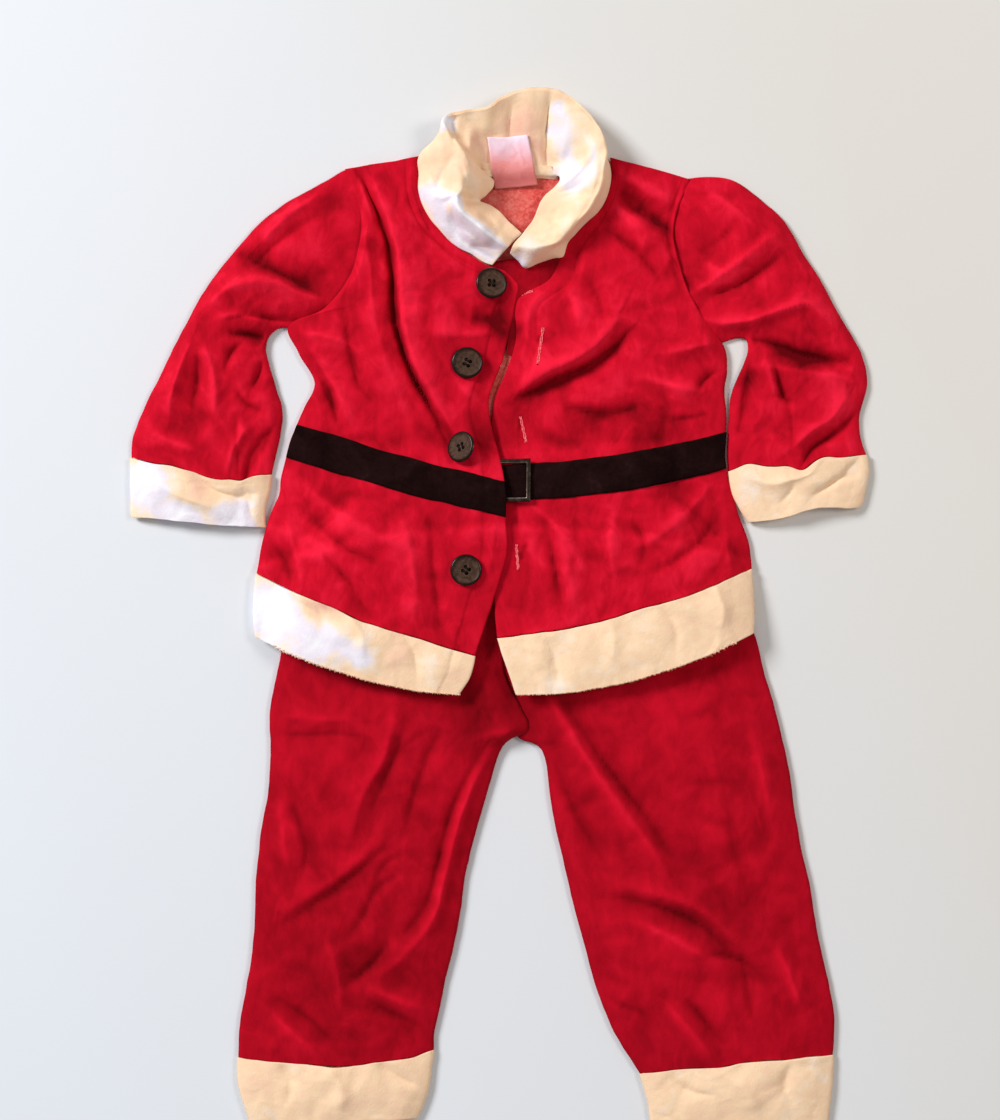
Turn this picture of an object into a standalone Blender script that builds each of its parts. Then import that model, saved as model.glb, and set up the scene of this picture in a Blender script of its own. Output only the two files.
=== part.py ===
"""A toddler's two-piece Santa suit laid out face up: an open jacket over its trousers.

Lengths in the tables are millimetres. X runs to the wearer's left, Y towards the collar and Z up
from the surface the suit lies on, which is at zero.
"""
import math
from collections import namedtuple

import bmesh
import bpy
from mathutils import Vector
from mathutils.bvhtree import BVHTree

MM = 0.001
VELOUR = 1.5
FLEECE = 3.0
RIBBON = 1.2
SEAM = 0.3
BUTT = 0.5
COLLAR_HALF = 2.2
BED_HEIGHT = 9.0
BED_EXTRA_AT_HEM = 1.6
BED_REACH = 17.0
BED_SLOPE = 40.0
WAIST_TOP = 98.0
BUTTON_RADIUS = 11.0
BUTTON_THICK = 3.2
BUTTON_HOLE_RADIUS = 1.1
BUTTON_HOLE_SPREAD = 2.0
BUCKLE_SIZE = (26.0, 31.0)
BUCKLE_BAR = 3.0
BUCKLE_THICK = 2.0
LABEL_THICK = 0.6

Section = namedtuple("Section", "name side_x side_y inner_x inner_y bow dome side_rise inner_rise")
TubeSection = namedtuple("TubeSection", "name outer_x outer_y under_x under_y bow dome")
Fold = namedtuple("Fold", "name from_x from_y to_x to_y width height")
Station = namedtuple("Station", "base_x base_y base_z mid_x mid_y mid_z edge_x edge_y edge_z")
Fastener = namedtuple("Fastener", "name x y squash turn")

FRONT_RIGHT = [
    Section("shoulder seam", -108, 306, -56, 315, 0, 0, 0, 0),
    Section("upper armhole", -97, 270, -55, 290, 0, 2, 3, 1),
    Section("chest", -104, 233, -40, 261, 0, 3.6, 4, 1),
    Section("lower armhole", -124, 207, -12, 240, 0, 3.6, 3, 1),
    Section("underarm", -148, 196, 17, 230, 0, 3.6, 0, 1),
    Section("ribs", -141, 177, 11, 207, 0, 3.6, 0, 1),
    Section("waist hollow", -130, 156, 1, 173, 0, 3.6, 0, 1),
    Section("above belt", -137, 139, -8, 138, 0, 3.6, 0, 3.5),
    Section("belt top", -142, 127, 2, 86, -2, 3.6, 0, 9.3),
    Section("belt bottom", -150, 103, 3, 61, -2, 3.6, 0, 9.3),
    Section("hip", -159, 70, 4, 35, -2, 3.6, 0, 3.5),
    Section("above hem", -167, 42, -4, 3, -3, 3.6, 0, 3),
    Section("hem seam", -171, 21, -16, -36, -3, 3.6, 0, 0.5),
]
FRONT_LEFT = [
    Section("shoulder seam", 134, 299, 78, 314, 0, 0, 0, 0),
    Section("upper armhole", 123, 266, 79, 297, 0, 2, 3, 1),
    Section("chest", 128, 233, 67, 274, 0, 3.6, 4, 1),
    Section("lower armhole", 140, 206, 48, 254, 0, 3.6, 3, 1),
    Section("underarm", 157, 184, 38, 236, 0, 3.6, 0, 1),
    Section("ribs", 161, 168, 16, 212, 0, 3.6, 0, 1),
    Section("waist hollow", 160, 151, 13, 179, 0, 3.6, 0, 1),
    Section("above belt", 160, 136, -4, 139, -3, 3.6, 0, 0.5),
    Section("belt top", 160, 121, -6, 97, -5, 3.6, 0, 0.5),
    Section("belt bottom", 160, 95, -5, 73, -6, 3.6, 0, 0.5),
    Section("hip", 166, 70, -4, 43, -3, 3.6, 0, 0.5),
    Section("above hem", 175, 45, -4, 9, -4, 3.6, 0, 0.5),
    Section("hem seam", 178, 25, -1, -23, -8, 3.6, 0, 0.5),
]
HEM_FRONT_RIGHT = [
    Section("seam", -171, 21, -16, -36, -3, 3, 0, 0.5),
    Section("middle", -173, -1, -20, -50, -5, 3, 0, 0.5),
    Section("edge", -171, -23, -28, -63, -8, 2, 0, 0.5),
]
HEM_FRONT_LEFT = [
    Section("seam", 178, 25, -1, -23, -8, 3, 0, 0.5),
    Section("middle", 179, 3, 4, -42, -9, 3, 0, 0.5),
    Section("edge", 178, -20, 12, -63, -11, 2, 0, 0.5),
]
HEM_BACK_DROP = 43.0
BACK_HEM_BOW = 26.0
LEG_RIGHT = [
    Section("waist", -91, 75, 15, 75, 0, 3.6, 0, 2),
    Section("upper hip", -123, 46, 15, 36, 0, 3.6, 0, 3),
    Section("hip", -142, 11, 15, -8, 0, 3.6, 0, 3),
    Section("seat", -152, -28, 15, -45, 0, 3.6, 0, 3),
    Section("fork", -159, -60, 15, -74, 0, 3.6, 0, 3),
    Section("crotch", -161, -85, 13, -94, 0, 3.6, 0, 0.5),
    Section("thigh", -161, -109, 1, -104, 0, 3.6, 0, 0),
    Section("lower thigh", -163, -137, -8, -132, 0, 3.6, 0, 0),
    Section("above knee", -168, -166, -17, -160, 0, 3.6, 0, 0),
    Section("knee", -171, -197, -24, -192, 0, 3.6, 0, 0),
    Section("calf", -173, -233, -29, -228, 0, 3.6, 0, 0),
    Section("lower calf", -177, -268, -38, -266, 0, 3.6, 0, 0),
    Section("above ankle", -183, -295, -44, -294, 0, 3.6, 0, 0),
    Section("ankle", -183, -319, -47, -316, -5, 3, 0, 0),
]
LEG_LEFT = [
    Section("waist", 108, 75, 16, 75, 0, 3.6, 0, 2),
    Section("upper hip", 142, 46, 16, 36, 0, 3.6, 0, 3),
    Section("hip", 164, 14, 16, -8, 0, 3.6, 0, 3),
    Section("seat", 180, -22, 16, -45, 0, 3.6, 0, 3),
    Section("fork", 187, -50, 16, -74, 0, 3.6, 0, 3),
    Section("crotch", 195, -76, 19, -94, 0, 3.6, 0, 0.5),
    Section("thigh", 202, -106, 29, -106, 0, 3.6, 0, 0),
    Section("lower thigh", 207, -136, 36, -134, 0, 3.6, 0, 0),
    Section("above knee", 212, -167, 42, -166, 0, 3.6, 0, 0),
    Section("knee", 219, -200, 50, -201, 0, 3.6, 0, 0),
    Section("calf", 225, -235, 59, -236, 0, 3.6, 0, 0),
    Section("lower calf", 232, -268, 69, -271, 0, 3.6, 0, 0),
    Section("above ankle", 236, -292, 82, -303, 0, 3.6, 0, 0),
    Section("ankle", 235, -317, 99, -330, 2, 3, 0, 0),
]
SLEEVE_RIGHT = [
    TubeSection("cap", -151, 282, -155, 194, 0, 3.6),
    TubeSection("upper arm", -183, 252, -162, 188, 0, 3.6),
    TubeSection("above elbow", -207, 222, -164, 179, 0, 3.6),
    TubeSection("elbow", -225, 189, -161, 167, 0, 3.6),
    TubeSection("forearm", -239, 160, -157, 152, 0, 3.6),
    TubeSection("lower forearm", -250, 137, -153, 136, 0, 3.6),
    TubeSection("wrist", -257, 118, -154, 116, -2, 3),
    TubeSection("cuff seam", -259, 103, -160, 91, -4, 2),
]
SLEEVE_LEFT = [
    TubeSection("cap", 165, 298, 166, 187, 0, 3.6),
    TubeSection("upper arm", 198, 272, 173, 186, 0, 3.6),
    TubeSection("above elbow", 217, 242, 175, 180, 0, 3.6),
    TubeSection("elbow", 236, 210, 174, 170, 0, 3.6),
    TubeSection("forearm", 254, 179, 171, 157, 0, 3.6),
    TubeSection("lower forearm", 259, 156, 167, 143, 0, 3.6),
    TubeSection("low forearm", 254, 134, 164, 127, 0, 3.6),
    TubeSection("wrist", 255, 117, 163, 110, 0, 3),
    TubeSection("cuff seam", 259, 105, 163, 93, 0, 2),
]
CUFF_RIGHT = [
    TubeSection("seam", -260, 102.4, -160, 90.4, -4, 1.5),
    TubeSection("middle", -260, 82, -164, 74, -3, 2),
    TubeSection("end", -258, 63, -164, 54, -2, 2),
]
CUFF_LEFT = [
    TubeSection("seam", 260, 104.4, 163, 92.4, 0, 1.5),
    TubeSection("middle", 260, 88, 167, 76, 0, 2),
    TubeSection("end", 252, 66, 175, 57, 0, 2),
]
ANKLE_RIGHT = [
    TubeSection("seam", -184, -319.6, -47, -316.6, -5, 2),
    TubeSection("middle", -183, -342, -49, -339, -5, 3),
    TubeSection("end", -176, -363.7, -57, -362, 0, 3),
]
ANKLE_LEFT = [
    TubeSection("seam", 236, -317.6, 99, -330.6, 2, 2),
    TubeSection("middle", 234, -342, 104, -348, 1, 3),
    TubeSection("end", 232, -363.7, 106, -363.7, 0, 3),
]
WAISTBAND = [
    TubeSection("seam", -90, 75.6, 107, 75.6, 0, 1),
    TubeSection("top", -87, 96, 104, 96, 0, 1),
]
FOLDS_FRONT_RIGHT = [
    Fold("chest crease", -76, 285, -68, 201, 8, -3),
    Fold("side crease", -68, 201, -38, 104, 8, -3),
    Fold("chest ridge", -62, 280, -54, 200, 10, 3.5),
    Fold("side ridge", -54, 200, -26, 112, 10, 3.5),
    Fold("shoulder tuck", -94, 300, -80, 275, 6, -2),
    Fold("waist tuck", -130, 159, -112, 136, 8, -2),
    Fold("hip ridge", -120, 70, -60, 30, 14, 2),
]
FOLDS_FRONT_LEFT = [
    Fold("waist crease", 10, 150, 64, 171, 7, -3),
    Fold("rib crease", 64, 171, 92, 204, 7, -3),
    Fold("upper overlap", 26, 168, 74, 190, 10, 3.5),
    Fold("lower ridge", 20, 141, 76, 158, 9, 2.5),
    Fold("chest valley", 75, 278, 118, 256, 9, -3),
    Fold("shoulder ridge", 85, 289, 124, 291, 8, 2),
    Fold("belly hollow", 64, 142, 99, 132, 14, -2.5),
    Fold("skirt crease", 36, 50, 44, 5, 8, -2),
    Fold("hip ridge", 90, 70, 130, 30, 14, 2),
]
FOLDS_SLEEVE_RIGHT = [
    Fold("cap hollow", -176, 245, -123, 218, 10, -3),
    Fold("elbow ridge", -198, 214, -170, 226, 9, 4),
    Fold("elbow ridge inner", -170, 226, -132, 215, 9, 4),
    Fold("elbow trough", -186, 207, -150, 201, 7, -3),
    Fold("elbow pocket", -179, 190, -162, 185, 8, -3),
    Fold("forearm ridge", -214, 176, -228, 135, 9, 3),
    Fold("wrist crease", -176, 96, -160, 122, 6, -2),
]
FOLDS_SLEEVE_LEFT = [
    Fold("elbow trough", 176, 183, 247, 171, 8, -4),
    Fold("elbow ridge", 150, 207, 218, 209, 9, 4),
    Fold("cap ridge", 142, 219, 192, 258, 9, 3),
    Fold("forearm ridge", 184, 169, 195, 143, 8, 3),
    Fold("wrist crease", 218, 106, 254, 143, 7, -3),
    Fold("inner trough", 172, 160, 172, 123, 6, -2),
]
FOLDS_LEG_RIGHT = [
    Fold("inner thigh ridge", -6, -102, -30, -140, 10, 3),
    Fold("inner knee ridge", -33, -150, -66, -232, 10, 3),
    Fold("hip crease", -148, -94, -80, -97, 7, -3),
    Fold("thigh ridge", -72, -88, -102, -152, 12, 3.5),
    Fold("knee crease", -140, -212, -109, -194, 8, -3),
    Fold("ankle ridge", -147, -278, -112, -303, 9, 2),
]
FOLDS_LEG_LEFT = [
    Fold("thigh ridge", 62, -86, 99, -152, 12, 4),
    Fold("knee ridge", 99, -152, 135, -197, 12, 3.5),
    Fold("calf crease", 85, -212, 166, -246, 8, -3),
    Fold("calf ridge", 85, -226, 150, -262, 9, 2.5),
    Fold("ankle ridge", 121, -278, 156, -308, 10, 3),
    Fold("ankle crease", 173, -252, 178, -289, 8, -2.5),
]
COLLAR = [
    Station(-3, 241, 5, -1, 246, 13, 3, 252, 15),
    Station(-13, 245, 5, -8, 252, 17, 9, 260, 15),
    Station(-25, 252.5, 5, -20, 263, 22, 3, 271, 14),
    Station(-38, 264, 5, -30, 274, 24, -6, 281, 13),
    Station(-48, 278.5, 5, -36, 284, 26, -13, 284, 12),
    Station(-52, 293, 5, -35, 295, 27, -6, 294, 12),
    Station(-52, 304, 5, -34, 309, 27, -9, 309, 15),
    Station(-49, 314, 4, -35, 321, 25, -20, 323, 20),
    Station(-40, 312, 3, -38, 325, 13, -37, 337, 20),
    Station(-23, 307, 2.4, -22, 326, 6, -20, 348, 13),
    Station(-5, 304, 2.2, -5, 329, 4, 0, 356, 9),
    Station(15, 303, 2.2, 16, 332, 3.5, 22, 361, 8),
    Station(35, 304, 2.2, 37, 333, 4, 39, 362, 9),
    Station(52, 307, 2.4, 54, 329, 7, 56, 352, 12),
    Station(65, 312, 3, 67, 325, 13, 67, 341, 17),
    Station(74, 315, 4, 73, 321, 20, 63, 326, 20),
    Station(75.5, 306, 5, 73, 309, 22, 54, 309, 17),
    Station(75.5, 297, 5, 71, 298, 24, 40, 300, 14),
    Station(71.5, 287, 5, 66, 289, 24, 32, 291, 13),
    Station(63.5, 275.5, 5, 58, 278.5, 24, 27, 280, 13),
    Station(53, 265, 5, 46, 270, 24, 25, 270, 15),
    Station(44.5, 254, 5, 37, 259, 22, 20, 262, 19),
    Station(40, 246, 5, 28, 249, 19, 13, 254, 21),
]
BUTTONS = [
    Fastener("button_1", -6, 225, 1.0, 0),
    Fastener("button_2", -22, 169, 1.0, 0),
    Fastener("button_3", -25, 109, 1.0, 0),
    Fastener("button_4", -23, 24, 1.0, 0),
]
BUCKLE_PLACE = (9.5, 86.5)
LABEL_CORNERS = ((-7, 331), (20, 333), (27, 298), (-3, 295.5))

VELOUR_RED = (0.50, 0.008, 0.022)
FLEECE_CREAM = (0.88, 0.72, 0.50)
VELVET_BLACK = (0.012, 0.008, 0.008)
BUTTON_BROWN = (0.045, 0.030, 0.022)
METAL_DARK = (0.10, 0.085, 0.07)
LABEL_WHITE = (0.85, 0.76, 0.80)


def clear_objects():
    for item in list(bpy.data.objects):
        bpy.data.objects.remove(item, do_unlink=True)


def material(name, colour, roughness, metallic=0.0):
    made = bpy.data.materials.new(name)
    made.use_nodes = True
    shader = made.node_tree.nodes["Principled BSDF"]
    shader.inputs["Base Color"].default_value = (*colour, 1.0)
    shader.inputs["Roughness"].default_value = roughness
    shader.inputs["Metallic"].default_value = metallic
    return made


def finish(name, shape, surface, smooth=True):
    """Turn a bmesh drawn in millimetres into a named object in metres."""
    bmesh.ops.recalc_face_normals(shape, faces=shape.faces)
    bmesh.ops.scale(shape, vec=(MM, MM, MM), verts=shape.verts)
    mesh = bpy.data.meshes.new(name)
    shape.to_mesh(mesh)
    shape.free()
    mesh.polygons.foreach_set("use_smooth", [smooth] * len(mesh.polygons))
    mesh.materials.append(surface)
    made = bpy.data.objects.new(name, mesh)
    bpy.context.collection.objects.link(made)
    return made


def mix(a, b, share):
    return a + (b - a) * share


def smooth_step(share):
    share = min(max(share, 0.0), 1.0)
    return share * share * (3.0 - 2.0 * share)


def refine(rows, steps=2):
    """Rows of numbers as vectors, with more rows between them on a smooth curve."""
    points = [Vector(row) for row in rows]
    fine = []
    for i in range(len(points) - 1):
        before = points[max(i - 1, 0)]
        after = points[min(i + 2, len(points) - 1)]
        for k in range(steps):
            t = k / steps
            bend = (2 * before - 5 * points[i] + 4 * points[i + 1] - after) * t * t
            twist = (3 * points[i] - before - 3 * points[i + 1] + after) * t ** 3
            fine.append(points[i] + ((points[i + 1] - before) * t + bend + twist) * 0.5)
    fine.append(points[-1])
    return fine


def spread(count):
    """Even places from 0 to 1, drawn closer together towards both ends."""
    return [mix(i / count, (1 - math.cos(math.pi * i / count)) / 2, 0.6) for i in range(count + 1)]


def crown(share, flat_from=1.0):
    """Height of a rounded layer across its width; it lies flat beyond flat_from."""
    return max(math.sin(math.pi * min(share / flat_from, 1.0)), 0.0) ** 0.8


def fold_lift(x, y, folds):
    """How far the folds lift the cloth at a place, or lower it."""
    lift = 0.0
    for fold in folds:
        run = Vector((fold.to_x - fold.from_x, fold.to_y - fold.from_y))
        reach = Vector((x - fold.from_x, y - fold.from_y))
        along = reach.dot(run) / run.length_squared
        away = abs(reach.x * run.y - reach.y * run.x) / run.length
        beyond = max(-along, along - 1.0, 0.0) * run.length
        distance = math.hypot(away, beyond)
        fade = 0.45 + 0.55 * math.sin(math.pi * min(max(along, 0.0), 1.0))
        lift += fold.height * fade * math.exp(-(distance / fold.width) ** 2)
    return lift


def side_at(sections, y):
    """Where a leg's side seam is at a height along the leg."""
    for upper, lower in zip(sections, sections[1:]):
        if lower.side_y <= y <= upper.side_y:
            share = (upper.side_y - y) / (upper.side_y - lower.side_y)
            return mix(upper.side_x, lower.side_x, share)
    return sections[0].side_x if y > sections[0].side_y else sections[-1].side_x


def bed(x, y):
    """Height of what the jacket lies on: the trousers' upper part, or the bare surface."""
    inside = min(x - side_at(LEG_RIGHT, y), side_at(LEG_LEFT, y) - x, WAIST_TOP - y)
    rise = min(max((inside + BED_REACH) / BED_SLOPE, 0.0), 1.0)
    full = BED_HEIGHT + BED_EXTRA_AT_HEM * smooth_step(-y / 45.0)
    return full * math.sin(math.pi / 2 * rise)


def layer_rise(dome, side_rise, inner_rise, share, flat_from):
    side = side_rise * (1 - smooth_step(share / 0.35))
    inner = inner_rise * smooth_step((share - 0.76) / 0.14)
    return side + inner + dome * crown(share, flat_from)


def panel_grid(sections, columns, floor, folds=(), flat_from=0.88, steps=2):
    """A panel's under side: one row a section, from the side seam to the inner edge.

    floor gives the height of what is below at a place.
    """
    grid = []
    for row in refine([section[1:] for section in sections], steps):
        side_x, side_y, inner_x, inner_y, bow, dome, side_rise, inner_rise = row
        line = []
        for share in spread(columns):
            x = mix(side_x, inner_x, share)
            y = mix(side_y, inner_y, share) + bow * 4 * share * (1 - share)
            edge = min(share, 1 - share) * 8
            lift = layer_rise(dome, side_rise, inner_rise, share, flat_from)
            lift += fold_lift(x, y, folds) * smooth_step(edge)
            line.append(Vector((x, y, floor(x, y) + SEAM + max(lift, 0.0))))
        grid.append(line)
    return grid


def raised(grid, height):
    return [[point + Vector((0, 0, height)) for point in line] for line in grid]


def wall(name, grid, thickness, surface):
    """A closed wall of cloth between a grid of points and the same grid raised."""
    shape = bmesh.new()
    under = [[shape.verts.new(point) for point in line] for line in grid]
    over = [[shape.verts.new(point) for point in line] for line in raised(grid, thickness)]
    rows = len(grid)
    columns = len(grid[0])
    for i in range(rows - 1):
        for j in range(columns - 1):
            shape.faces.new((under[i][j], under[i][j + 1], under[i + 1][j + 1], under[i + 1][j]))
            shape.faces.new((over[i][j], over[i + 1][j], over[i + 1][j + 1], over[i][j + 1]))
    rim = [(0, j) for j in range(columns)]
    rim += [(i, columns - 1) for i in range(1, rows)]
    rim += [(rows - 1, j) for j in range(columns - 2, -1, -1)]
    rim += [(i, 0) for i in range(rows - 2, 0, -1)]
    for (i, j), (k, m) in zip(rim, rim[1:] + rim[:1]):
        shape.faces.new((under[i][j], over[i][j], over[k][m], under[k][m]))
    return finish(name, shape, surface)


def flat_tube_loops(line, dome, thickness, folds):
    """The outer and inner outline of a flattened tube across one section."""
    count = len(line) - 1
    width = (line[-1] - line[0]).length
    inset = 1.25 * thickness / width
    front_out = []
    front_in = []
    for j in range(1, count):
        share = (line[j] - line[0]).length / width
        x, y = line[j]
        lift = dome * crown(share) + fold_lift(x, y, folds) * smooth_step(min(share, 1 - share) * 8)
        height = thickness + SEAM + max(lift, 0.3)
        front_in.append(Vector((x, y, height)))
        front_out.append(Vector((x, y, height + thickness)))
    back_in = [Vector((x, y, thickness)) for x, y in line[count - 1:0:-1]]
    back_out = [Vector((x, y, 0)) for x, y in line[count - 1:0:-1]]
    middle = thickness + SEAM / 2
    start = Vector((*line[0], middle))
    end = Vector((*line[-1], middle))
    inner_start = Vector((*line[0].lerp(line[-1], inset), middle))
    inner_end = Vector((*line[-1].lerp(line[0], inset), middle))
    return [start] + front_out + [end] + back_out, [inner_start] + front_in + [inner_end] + back_in


def tube(name, rows, thickness, surface, folds=()):
    """A flattened tube with open ends; rows holds (points across, dome)."""
    shape = bmesh.new()
    outer = []
    inner = []
    for line, dome in rows:
        out_loop, in_loop = flat_tube_loops(line, dome, thickness, folds)
        outer.append([shape.verts.new(point) for point in out_loop])
        inner.append([shape.verts.new(point) for point in in_loop])
    count = len(outer[0])
    for j in range(count):
        k = (j + 1) % count
        for i in range(len(rows) - 1):
            shape.faces.new((outer[i][j], outer[i][k], outer[i + 1][k], outer[i + 1][j]))
            shape.faces.new((inner[i][j], inner[i + 1][j], inner[i + 1][k], inner[i][k]))
        for i in (0, len(rows) - 1):
            shape.faces.new((outer[i][j], inner[i][j], inner[i][k], outer[i][k]))
    return finish(name, shape, surface)


def tube_rows(sections, columns, steps=1, first=None):
    """Points across each section of a flattened tube, with the hollow's height there."""
    rows = [] if first is None else [first]
    for section in sections:
        numbers = []
        for share in spread(columns):
            numbers.append(mix(section.outer_x, section.under_x, share))
            bow = section.bow * 4 * share * (1 - share)
            numbers.append(mix(section.outer_y, section.under_y, share) + bow)
        rows.append(numbers + [section.dome])
    lines = []
    for row in refine(rows, steps):
        points = [Vector((row[2 * j], row[2 * j + 1])) for j in range(columns + 1)]
        lines.append((points, row[-1]))
    return lines


def armhole(sections, steps=2):
    """The sleeve's seam: the panel's armhole edge moved off it by the seam's gap."""
    rows = refine([section[1:3] for section in sections], steps)[:9]
    away = -1 if rows[0].x < 0 else 1
    numbers = []
    for j, point in enumerate(rows):
        run = rows[min(j + 1, 8)] - rows[max(j - 1, 0)]
        side = Vector((run.y, -run.x)).normalized()
        if side.x * away < 0:
            side = -side
        place = point + side * (BUTT + 0.3)
        numbers += [place.x, place.y]
    return numbers + [3.5]


def build_jacket_back(surface):
    """One back panel, from the shoulders and neck to its own hem seam."""
    right = refine([section[1:3] for section in FRONT_RIGHT])
    left = refine([section[1:3] for section in FRONT_LEFT])
    last = len(right) - 1
    columns = 15
    grid = []
    for i, (start, end) in enumerate(zip(right, left)):
        line = []
        for j in range(columns + 1):
            share = j / columns
            x = mix(start.x, end.x, share)
            y = mix(start.y, end.y, share)
            y += shoulder_lift(x) * (1 - smooth_step(i / 7))
            y += BACK_HEM_BOW * 4 * share * (1 - share) * smooth_step((i - last + 9) / 9)
            line.append(Vector((x, y, bed(x, y))))
        grid.append(line)
    return wall("jacket_back", grid, VELOUR, surface), grid[-1]


def shoulder_lift(x):
    """Rise of the shoulder seams to the neck, and the dip of the back neck between them."""
    if x < -55:
        return 10.0 * (x + 108) / 53
    if x > 77:
        return 11.5 * (134 - x) / 57
    across = (x - 11) / 66
    return -3.0 + 13.0 * across ** 4


def build_hem_back(seam, surface):
    """The back's hem band hangs from the back panel's last row."""
    grid = []
    for share in (0.0, 0.5, 1.0):
        line = []
        for point in seam:
            x = point.x * (1 + 0.01 * math.sin(math.pi * share))
            y = point.y - BUTT - HEM_BACK_DROP * share
            line.append(Vector((x, y, bed(x, y))))
        grid.append(line)
    return wall("hem_back", grid, FLEECE, surface)


def back_hem_line(x):
    """Where along the suit the back's hem seam runs: it rides up in the middle."""
    right, left = FRONT_RIGHT[-1], FRONT_LEFT[-1]
    share = min(max((x - right.side_x) / (left.side_x - right.side_x), 0.0), 1.0)
    return mix(right.side_y, left.side_y, share) + BACK_HEM_BOW * 4 * share * (1 - share)


def over_jacket_back(x, y):
    """Height of the jacket's back, or of its thicker hem band."""
    past_seam = smooth_step((back_hem_line(x) + 10 - y) / 8)
    return bed(x, y) + mix(VELOUR, FLEECE + 0.5, past_seam)


def over_hem_back(x, y):
    return bed(x, y) + FLEECE + 1.0


def over_leg_back(x, y):
    return VELOUR


def moved(sections, gap):
    """The same sections with the first row moved down by a gap."""
    first = sections[0]
    return [first._replace(side_y=first.side_y - gap, inner_y=first.inner_y - gap)] + sections[1:]


def build_leg(side, sections, folds, surface):
    front = panel_grid(sections, 8, over_leg_back, folds)
    wall(f"leg_front_{side}", front, VELOUR, surface)
    back = panel_grid(sections, 3, lambda x, y: -SEAM)
    flat = [[Vector((point.x, point.y, 0)) for point in line] for line in back]
    wall(f"leg_back_{side}", flat, VELOUR, surface)


def build_belt(name, grid, surface):
    """The ribbon lies on the panel: the panel's own points moved out."""
    first = 16
    lying = raised(grid[first:first + 3], VELOUR + SEAM)
    return wall(name, lying, RIBBON, surface)


def collar_section(station):
    """One outline across the collar, outer face first, then round its edge to the inner face."""
    base = Vector((station.base_x, station.base_y, station.base_z))
    middle = Vector((station.mid_x, station.mid_y, station.mid_z))
    edge = Vector((station.edge_x, station.edge_y, station.edge_z))
    line = []
    for k in range(6):
        t = k / 5
        near = base * (1 - t) * (1 - 2 * t)
        line.append(near + middle * 4 * t * (1 - t) + edge * t * (2 * t - 1))
    return line


def build_collar(surface):
    """A standing collar of doubled fleece, sewn to the neckline and falling inwards."""
    lines = [collar_section(station) for station in COLLAR]
    shape = bmesh.new()
    loops = []
    for i, line in enumerate(lines):
        before = lines[max(i - 1, 0)]
        after = lines[min(i + 1, len(lines) - 1)]
        outer = []
        inner = []
        for k, point in enumerate(line):
            run = line[min(k + 1, 5)] - line[max(k - 1, 0)]
            along = after[k] - before[k]
            side = run.cross(along).normalized() * COLLAR_HALF
            outer.append(point + side)
            inner.append(point - side)
        tip = line[5] + (line[5] - line[4]).normalized() * COLLAR_HALF * 0.8
        points = outer + [tip] + inner[::-1]
        loops.append([shape.verts.new(lifted(point)) for point in points])
    count = len(loops[0])
    for near, far in zip(loops, loops[1:]):
        for j in range(count):
            k = (j + 1) % count
            shape.faces.new((near[j], near[k], far[k], far[j]))
    shape.faces.new(loops[0])
    shape.faces.new(loops[-1])
    return finish("collar", shape, surface)


def lifted(point):
    return Vector((point.x, point.y, max(point.z, 0.0)))


def height_on(items, x, y):
    """Height of the topmost of some objects at a place, in millimetres."""
    top = 0.0
    for tree in items:
        hit = tree.ray_cast(Vector((x * MM, y * MM, 0.2)), Vector((0, 0, -1)))
        if hit[0] is not None:
            top = max(top, hit[0].z / MM)
    return top


def tree_of(item):
    points = [vertex.co for vertex in item.data.vertices]
    faces = [polygon.vertices for polygon in item.data.polygons]
    return BVHTree.FromPolygons(points, faces)


def lie_on(shape, items, x, y, half_x, half_y):
    """Tilt and raise a small hard piece, drawn at the origin, so that it lies clear of the cloth."""
    places = []
    for k in range(16):
        angle = k * math.tau / 16
        for share in (0.5, 1.0):
            px = half_x * share * math.cos(angle)
            py = half_y * share * math.sin(angle)
            places.append((px, py, height_on(items, x + px, y + py)))
    middle = sum(place[2] for place in places) / len(places)
    slope_x = sum(p[0] * (p[2] - middle) for p in places) / sum(p[0] ** 2 for p in places)
    slope_y = sum(p[1] * (p[2] - middle) for p in places) / sum(p[1] ** 2 for p in places)
    base = max(p[2] - slope_x * p[0] - slope_y * p[1] for p in places) + SEAM + 0.1
    for vertex in shape.verts:
        px, py, pz = vertex.co
        vertex.co = (x + px, y + py, base + pz + slope_x * px + slope_y * py)


def build_button(fastener, items, surface):
    """A four-hole button with a raised rim."""
    shape = bmesh.new()
    profile = [
        (0.72, 0.0), (0.96, 0.35), (1.0, 0.62), (0.96, 0.92), (0.86, 1.0), (0.76, 0.72), (0.45, 0.62)]
    sides = 24
    rings = []
    for radius, height in profile:
        ring = []
        for k in range(sides):
            angle = k * math.tau / sides
            spot = (BUTTON_RADIUS * radius * math.cos(angle), BUTTON_RADIUS * radius * math.sin(angle))
            ring.append(shape.verts.new((*spot, BUTTON_THICK * height)))
        rings.append(ring)
    for low, high in zip(rings, rings[1:]):
        for k in range(sides):
            m = (k + 1) % sides
            shape.faces.new((low[k], low[m], high[m], high[k]))
    shape.faces.new(rings[0][::-1])
    shape.faces.new(rings[-1])
    made = finish(fastener.name, shape, surface)
    drill(made)
    shape = bmesh.new()
    shape.from_mesh(made.data)
    bmesh.ops.scale(shape, vec=(1 / MM, 1 / MM, 1 / MM), verts=shape.verts)
    lie_on(shape, items, fastener.x, fastener.y, BUTTON_RADIUS, BUTTON_RADIUS)
    bmesh.ops.scale(shape, vec=(MM, MM, MM), verts=shape.verts)
    shape.to_mesh(made.data)
    shape.free()
    return made


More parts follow.
